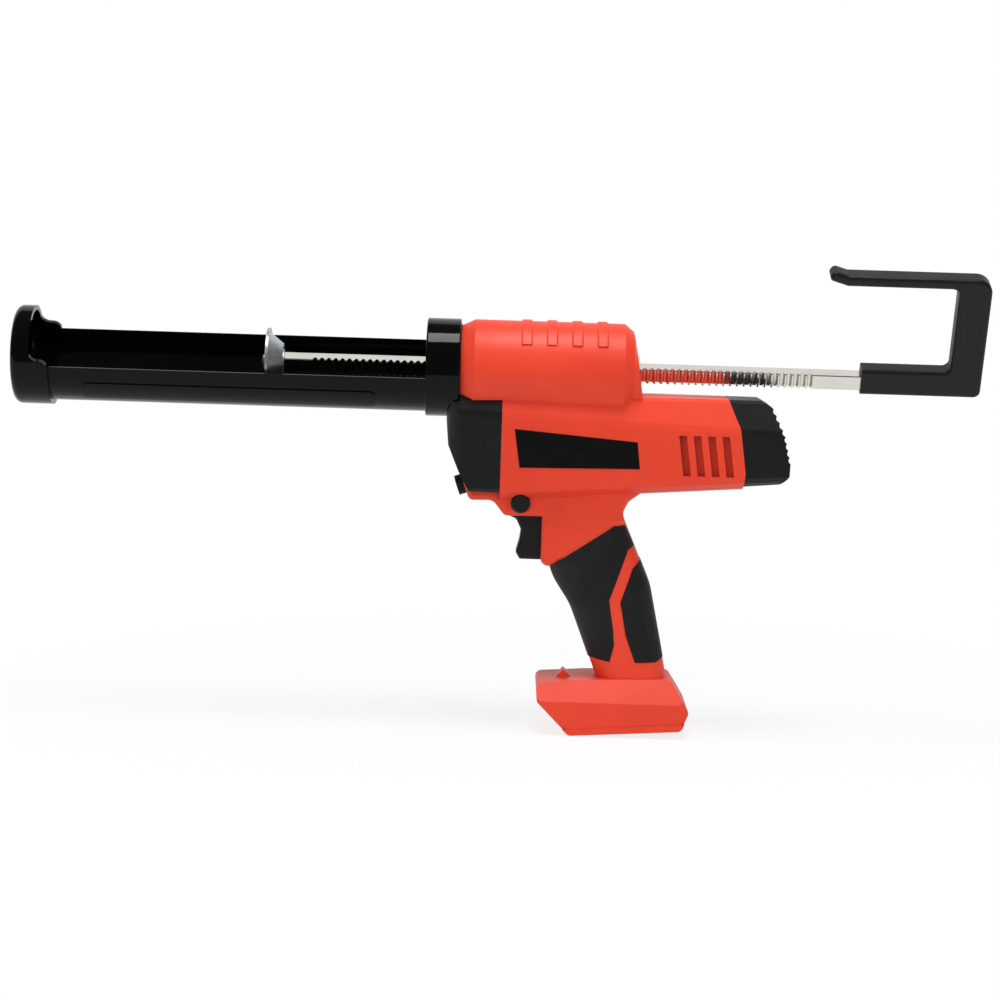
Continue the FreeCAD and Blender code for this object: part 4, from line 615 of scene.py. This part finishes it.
ALLOY = CastMetal("cast_alloy", colour=(0.48, 0.49, 0.50), dark=(0.33, 0.34, 0.35), roughness=0.5,
                  skin=Speckle(420.0, 3.0), relief=0.0002)
ACETAL = GrainedPlastic("acetal", colour=(0.60, 0.58, 0.52), worn=(0.45, 0.43, 0.38), roughness=0.4,
                        grain=1200.0, relief=0.00005)
LAMINATE = GrainedPlastic("board_laminate", colour=(0.02, 0.12, 0.05), worn=(0.012, 0.07, 0.03),
                          roughness=0.36, grain=1800.0, relief=0.00004)
BRASS = WorkedSteel("stamped_brass", colour=(0.78, 0.56, 0.24), dark=(0.5, 0.33, 0.12), roughness=0.28)

Finish = MouldedShell | GrainedPlastic | SoftGrip | Enamel | WorkedSteel | CastMetal | PlateFace
_made: dict[str, bpy.types.Material] = {}


def finish_of(finish: Finish) -> bpy.types.Material:
    """The finish's material, built on first use.

    Args:
        finish: What to build.

    Returns:
        Its material.
    """
    if finish.name not in _made:
        _made[finish.name] = finish.material()
    return _made[finish.name]


class Tree(NodeTree):
    """A Geometry Nodes tree with named inputs."""

    def __init__(self, name: str, **sizes: float) -> None:
        """Makes the tree, its group inputs and its output.

        Args:
            name: The tree's name.
            **sizes: Default values by input name.
        """
        super().__init__(bpy.data.node_groups.new(name, "GeometryNodeTree"))
        face = self.tree.interface
        face.new_socket("Geometry", in_out="INPUT", socket_type="NodeSocketGeometry")
        self.sockets: dict[str, str] = {}
        for key, value in sizes.items():
            kind = "NodeSocketInt" if isinstance(value, int) else "NodeSocketFloat"
            made = face.new_socket(key, in_out="INPUT", socket_type=kind)
            made.default_value = value
            self.sockets[key] = made.identifier
        face.new_socket("Geometry", in_out="OUTPUT", socket_type="NodeSocketGeometry")
        self.sizes = sizes
        self.entry = self.add("NodeGroupInput")
        self.exit = self.add("NodeGroupOutput")

    def size(self, name: str) -> bpy.types.NodeSocket:
        """The group input of that name."""
        return self.entry.outputs[name]

    def node(self, kind: str, settings: Settings | None = None, inputs: Inputs | None = None,
             out: int | str = 0) -> bpy.types.NodeSocket:
        """Adds any node and hands back the chosen one of its outputs."""
        return self.add(kind, settings, inputs).outputs[out]

    def close(self, geometry: bpy.types.NodeSocket, finish: Finish) -> None:
        """Ends the tree in real meshes with their material.

        Args:
            geometry: What the tree has made.
            finish: What it is dressed in.
        """
        real = self.node("GeometryNodeRealizeInstances", inputs={0: geometry})
        dressed = self.node("GeometryNodeSetMaterial", inputs={0: real, "Material": finish_of(finish)})
        self.feed(self.exit.inputs[0], dressed)

    def grow(self, name: str, mesh: bpy.types.Mesh) -> bpy.types.Object:
        """Runs the tree on a mesh and keeps the result as a plain mesh.

        Args:
            name: The new piece's name.
            mesh: What the tree starts from.

        Returns:
            The finished object.
        """
        seed = bpy.data.objects.new(name + "_seed", mesh)
        bpy.context.scene.collection.objects.link(seed)
        modifier = seed.modifiers.new("grow", "NODES")
        modifier.node_group = self.tree
        for key, identifier in self.sockets.items():
            modifier[identifier] = self.sizes[key]
        graph = bpy.context.evaluated_depsgraph_get()
        plain = bpy.data.meshes.new_from_object(seed.evaluated_get(graph), depsgraph=graph)
        seed.modifiers.remove(modifier)
        bpy.data.objects.remove(seed)
        piece = bpy.data.objects.new(name, plain)
        bpy.context.scene.collection.objects.link(piece)
        return piece


def points_mesh(name: str, places: Iterable[Vector]) -> bpy.types.Mesh:
    """A mesh of loose points for a tree to stand things on.

    Args:
        name: The mesh's name.
        places: Its points.

    Returns:
        The mesh.
    """
    mesh = bpy.data.meshes.new(name)
    mesh.from_pydata([tuple(place) for place in places], [], [])
    return mesh


@dataclass
class SubAssembly:
    """Pieces that belong together, with the finish of every node."""

    finishes: ClassVar[Mapping[str, Finish]] = {}

    def dress(self) -> None:
        """Gives every node of the sub-assembly its finish."""
        for node, finish in self.finishes.items():
            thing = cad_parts[node]
            thing.data.materials.clear()
            thing.data.materials.append(finish_of(finish))
            LOG.info("dressed %s in %s", node, finish.name)

    def build(self) -> None:
        """Adds pieces that stand on the nodes, where the sub-assembly has any."""


@dataclass
class DriveHousing(SubAssembly):
    """The two shells with their pads, plate, covers and screws."""

    finishes: ClassVar[Mapping[str, Finish]] = {
        "left_housing_shell": RED, "right_housing_shell": RED, "nose_cover": BLACK, "motor_end_cap": BLACK,
        "left_front_grip_pad": RUBBER, "right_front_grip_pad": RUBBER, "left_rear_grip_pad": RUBBER,
        "right_rear_grip_pad": RUBBER, "label_plate": PLATE, "housing_screws": ZINC,
    }
    head_radius: float = 0.00266
    head_height: float = 0.0020
    head_sides: int = 40
    head_sink: float = 0.00002
    recess_share: float = 1.25
    recess_width: float = 0.0009
    recess_depth: float = 0.0012
    screw_spacing: float = 0.008

    def screw_places(self) -> list[Vector]:
        """Finds the top of every housing screw in the node's own mesh.

        Returns:
            The middle of each screw's outer end.
        """
        screws: list[list[Vector]] = []
        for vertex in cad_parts["housing_screws"].data.vertices:
            for screw in screws:
                if (vertex.co - screw[0]).xz.length < self.screw_spacing:
                    screw.append(vertex.co)
                    break
            else:
                screws.append([vertex.co])
        places = []
        for screw in screws:
            along, across, up = zip(*screw)
            places.append(Vector(((min(along) + max(along)) / 2, max(across), (min(up) + max(up)) / 2)))
        return places

    def build(self) -> None:
        """Gives the screws their cross-recessed heads."""
        tree = Tree("screw_heads", radius=self.head_radius, height=self.head_height, slot=self.recess_width,
                    depth=self.recess_depth)
        radius, height, slot, depth = (tree.size(name) for name in ("radius", "height", "slot", "depth"))
        head = tree.node("GeometryNodeMeshCylinder", inputs={
            "Vertices": self.head_sides, "Radius": radius, "Depth": height,
        })
        length = tree.node("ShaderNodeMath", {"operation": "MULTIPLY"}, {0: radius, 1: self.recess_share})
        bar = tree.node("ShaderNodeCombineXYZ", inputs={0: length, 1: slot, 2: depth})
        cross = tree.node("ShaderNodeCombineXYZ", inputs={0: slot, 1: length, 2: depth})
        rise = tree.node("ShaderNodeMath", {"operation": "MULTIPLY"}, {0: height, 1: 0.5})
        lift = tree.node("ShaderNodeCombineXYZ", inputs={2: rise})
        cutters = []
        for span in (bar, cross):
            cube = tree.node("GeometryNodeMeshCube", inputs={"Size": span})
            cutters.append(tree.node("GeometryNodeTransform", inputs={0: cube, "Translation": lift}))
        carved = tree.node("GeometryNodeMeshBoolean", {"operation": "DIFFERENCE"}, {0: head, 1: cutters})
        set_on = tree.node("GeometryNodeInstanceOnPoints", inputs={
            "Points": tree.node("GeometryNodeMeshToPoints", inputs={0: tree.entry.outputs[0]}),
            "Instance": carved,
            "Rotation": (-math.pi / 2, 0.0, 0.0),
        })
        tree.close(set_on, ZINC)
        down = Vector((0.0, -self.head_height / 2 - self.head_sink, 0.0))
        places = self.screw_places()
        heads = tree.grow("screw_heads", points_mesh("screw_spots", [place + down for place in places]))
        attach(heads, "housing")
        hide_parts("housing_screws")
        LOG.info("set %d screw heads", len(places))


@dataclass
class CartridgeHolder(SubAssembly):
    """Front cap, cradle and collar in one enamel."""

    finishes: ClassVar[Mapping[str, Finish]] = {
        "front_cap": ENAMEL, "cartridge_cradle": ENAMEL, "rear_collar": ENAMEL,
    }


@dataclass
class PushRod(SubAssembly):
    """Rack, push disc and hook."""

    finishes: ClassVar[Mapping[str, Finish]] = {
        "rack": BRIGHT, "push_disc": ZINC, "disc_screw": ZINC, "hook_handle": HOOK_BLACK, "hook_pins": ZINC,
    }


@dataclass
class DriveTrain(SubAssembly):
    """Motor, gears and bearings inside the shells."""

    finishes: ClassVar[Mapping[str, Finish]] = {
        # The barrel socket's near-black alloy is painted shade for the gap behind the collar.
        "barrel_socket": ALLOY_PAINTED_DARK, "retainer_ring": ZINC,
        "front_rack_bush": ACETAL, "rear_rack_bush": ACETAL,
        "gear_case": ALLOY, "bearing_bridge": ALLOY, "shaft_bearings": RING, "output_bearing": RING,
        "planetary_gearbox": GEAR, "motor_can": GEAR, "motor_end_bell": INNER_BLACK, "pinion_shaft": GEAR,
        "rack_pinion": GEAR, "bevel_gear": GEAR, "output_shaft": GEAR, "bevel_pinion": GEAR,
    }


@dataclass
class Controls(SubAssembly):
    """Trigger, lock button, speed dial and what they work on."""

    finishes: ClassVar[Mapping[str, Finish]] = {
        "trigger": BLACK, "lock_button": BLACK, "speed_dial": BLACK, "trigger_switch": INNER_BLACK,
        "speed_potentiometer": GEAR, "control_board": LAMINATE, "terminal_block": INNER_BLACK,
        "terminal_blades": BRASS,
    }
    head_front: float = 0.0108
    head_top_drop: float = 0.0570
    head_run: float = 0.1072
    head_drop: float = 0.0568
    chin_shares: tuple[float, float] = (0.060, 0.331)
    dial_share: float = 0.56
    dial_radius: float = 0.0053
    dial_height: float = 0.0046
    dial_gap: float = 0.0003
    ridge_count: int = 24
    ridge_width: float = 0.00055
    ridge_sides: int = 8

    def build(self) -> None:
        """Rings the speed dial with grip ridges."""
        tree = Tree("dial_ridges", radius=self.dial_radius, height=self.dial_height, width=self.ridge_width,
                    count=self.ridge_count)
        ring = tree.node("GeometryNodeMeshCircle", inputs={
            "Vertices": tree.size("count"), "Radius": tree.size("radius"),
        })
        bar = tree.node("GeometryNodeMeshCylinder", inputs={
            "Vertices": self.ridge_sides, "Radius": tree.size("width"), "Depth": tree.size("height"),
        })
        rim = tree.node("GeometryNodeInstanceOnPoints", inputs={"Points": ring, "Instance": bar})
        tree.close(rim, BLACK)
        ridges = tree.grow("dial_ridges", points_mesh("dial_spot", [Vector()]))
        run_share, drop_share = self.chin_shares
        run, drop = run_share * self.head_run, drop_share * self.head_drop
        outward = Vector((-drop, 0.0, -run)).normalized()
        turn = outward.to_track_quat("Z", "Y").to_matrix().to_4x4()
        back, below = self.head_front + self.dial_share * run, self.head_top_drop + self.dial_share * drop
        foot = BARREL + Vector((back, 0.0, -below))
        place = foot + outward * (self.dial_gap + self.dial_height / 2)
        ridges.data.transform(Matrix.Translation(place) @ turn)
        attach(ridges, "dial")
        LOG.info("ringed the dial with %d ridges", self.ridge_count)


@dataclass(frozen=True)
class SoftBox:
    """One soft lamp."""

    name: str
    place: Triple
    size: tuple[float, float]
    power: float
    mirrored: bool

    def hang(self, aim: Vector) -> None:
        """Hangs the lamp.

        Args:
            aim: What it points at.
        """
        data = bpy.data.lights.new(self.name, "AREA")
        data.shape = "RECTANGLE"
        data.size, data.size_y = self.size
        data.energy = self.power
        lamp = bpy.data.objects.new(self.name, data)
        bpy.context.scene.collection.objects.link(lamp)
        place = Vector(self.place)
        turn = (aim - place).to_track_quat("-Z", "Y").to_matrix().to_4x4()
        lamp.matrix_world = Matrix.Translation(place) @ turn
        lamp.visible_glossy = self.mirrored
        LOG.info("hung %s", self.name)


@dataclass
class Studio:
    """Pale sweep, soft lamps and the camera of the photograph."""

    boxes: ClassVar[tuple[SoftBox, ...]] = (
        SoftBox("top_box", place=(0.0, -0.25, 1.4), size=(0.55, 0.52), power=12.0, mirrored=True),
        SoftBox("front_fill", place=(-0.7, -1.6, 0.75), size=(1.2, 1.2), power=8.0, mirrored=False),
        SoftBox("right_fill", place=(1.2, -0.9, 0.7), size=(0.8, 1.2), power=4.0, mirrored=False),
    )
    aim: Vector = field(default_factory=lambda: Vector((-0.0745, 0.0, 0.1312)))
    distance: float = 1.585
    lens: float = 97.2
    sensor: float = 36.0
    elevation: float = math.radians(6.5)
    roll: float = math.radians(1.82)
    floor_drop: float = 0.0005
    sweep: float = 4.0
    apron: float = 0.75
    depth: float = 1.8
    bend: float = 0.8
    bend_steps: int = 12
    pulp: Speckle = Speckle(9.0)
    pulp_tints: tuple[Colour, Colour] = ((0.90, 0.90, 0.90), (0.88, 0.88, 0.88))
    paper_roughness: float = 0.9
    shade_reach: Band = (0.12, 0.55)
    white_shares: Band = (0.82, 1.0)
    ambient: float = 0.42
    dim_room: float = 0.15

    def camera(self) -> None:
        """Stands the camera where the photograph was taken from."""
        data = bpy.data.cameras.new("camera")
        data.lens = self.lens
        data.sensor_width = self.sensor
        data.sensor_fit = "HORIZONTAL"
        camera = bpy.data.objects.new("camera", data)
        bpy.context.scene.collection.objects.link(camera)
        ahead = Vector((0.0, math.cos(self.elevation), -math.sin(self.elevation)))
        upright = Vector((0.0, math.sin(self.elevation), math.cos(self.elevation)))
        side = Vector((1.0, 0.0, 0.0))
        right = side * math.cos(self.roll) + upright * math.sin(self.roll)
        up = upright * math.cos(self.roll) - side * math.sin(self.roll)
        place = self.aim - ahead * self.distance
        rows = Matrix((right, up, -ahead)).transposed().to_4x4()
        camera.matrix_world = Matrix.Translation(place) @ rows
        bpy.context.scene.camera = camera
        LOG.info("camera %.3f m away", self.distance)

    def backdrop(self) -> None:
        """Lays a pale floor that curves up into the wall behind."""
        low = CAD_BOX[0][2] - self.floor_drop
        profile = [(-self.apron, low)]
        for index in range(self.bend_steps + 1):
            angle = math.pi / 2 * index / self.bend_steps
            back, rise = self.bend * math.sin(angle), self.bend * (1 - math.cos(angle))
            profile.append((self.depth + back, low + rise))
        profile.append((self.depth + self.bend, low + self.sweep))
        vertices = [(side * self.sweep, y, z) for y, z in profile for side in (-1, 1)]
        faces = [(2 * i, 2 * i + 1, 2 * i + 3, 2 * i + 2) for i in range(len(profile) - 1)]
        mesh = bpy.data.meshes.new("backdrop")
        mesh.from_pydata(vertices, [], faces)
        for face in mesh.polygons:
            face.use_smooth = True
        sheet = bpy.data.objects.new("backdrop", mesh)
        bpy.context.scene.collection.objects.link(sheet)
        mesh.materials.append(self.paper())
        LOG.info("laid the backdrop")

    def paper(self) -> bpy.types.Material:
        """Builds paper that keeps the shadow and shows white in the picture and in reflections.

        Returns:
            Its material.
        """
        graph = FinishGraph("backdrop_paper")
        fibre = graph.tint(*self.pulp_tints, graph.noise(self.pulp))
        graph.surface(Base_Color=fibre, Roughness=self.paper_roughness)
        white = graph.node("ShaderNodeEmission", inputs={"Color": WHITE, "Strength": WHITE_STRENGTH})
        away = graph.node("ShaderNodeVectorMath", {"operation": "LENGTH"}, {0: graph.place()}, "Value")
        share = away.ramp(*self.shade_reach, *self.white_shares)
        seen = graph.seen("Is Camera Ray", "Is Glossy Ray", "Is Transmission Ray")
        paper = Signal(graph, graph.shader.outputs["BSDF"])
        graph.finish_with(graph.blended(seen * share, paper, white))
        return graph.material

    def lights(self) -> None:
        """Hangs the lamps in a pale room that is dim in reflections and white in the picture."""
        world = bpy.data.worlds.new("studio_room")
        graph = Graph(world)
        pale, dim, white = (
            graph.node("ShaderNodeBackground", inputs={"Color": WHITE, "Strength": strength})
            for strength in (self.ambient, self.dim_room, WHITE_STRENGTH)
        )
        room = graph.blended(graph.seen("Is Glossy Ray"), pale, dim)
        backed = graph.blended(graph.seen("Is Camera Ray", "Is Transmission Ray"), room, white)
        graph.add("ShaderNodeOutputWorld", inputs={"Surface": backed})
        bpy.context.scene.world = world
        for box in self.boxes:
            box.hang(self.aim)

    def build(self) -> None:
        """Sets the whole studio."""
        bpy.context.scene.view_settings.view_transform = "Standard"
        self.backdrop()
        self.lights()
        self.camera()


def main() -> None:
    """Dresses every sub-assembly and sets the studio."""
    logging.basicConfig(level=logging.INFO, format="%(name)s: %(message)s")
    for assembly in (DriveHousing(), CartridgeHolder(), PushRod(), DriveTrain(), Controls()):
        assembly.dress()
        assembly.build()
    Studio().build()


if __name__ == "__main__":
    main()
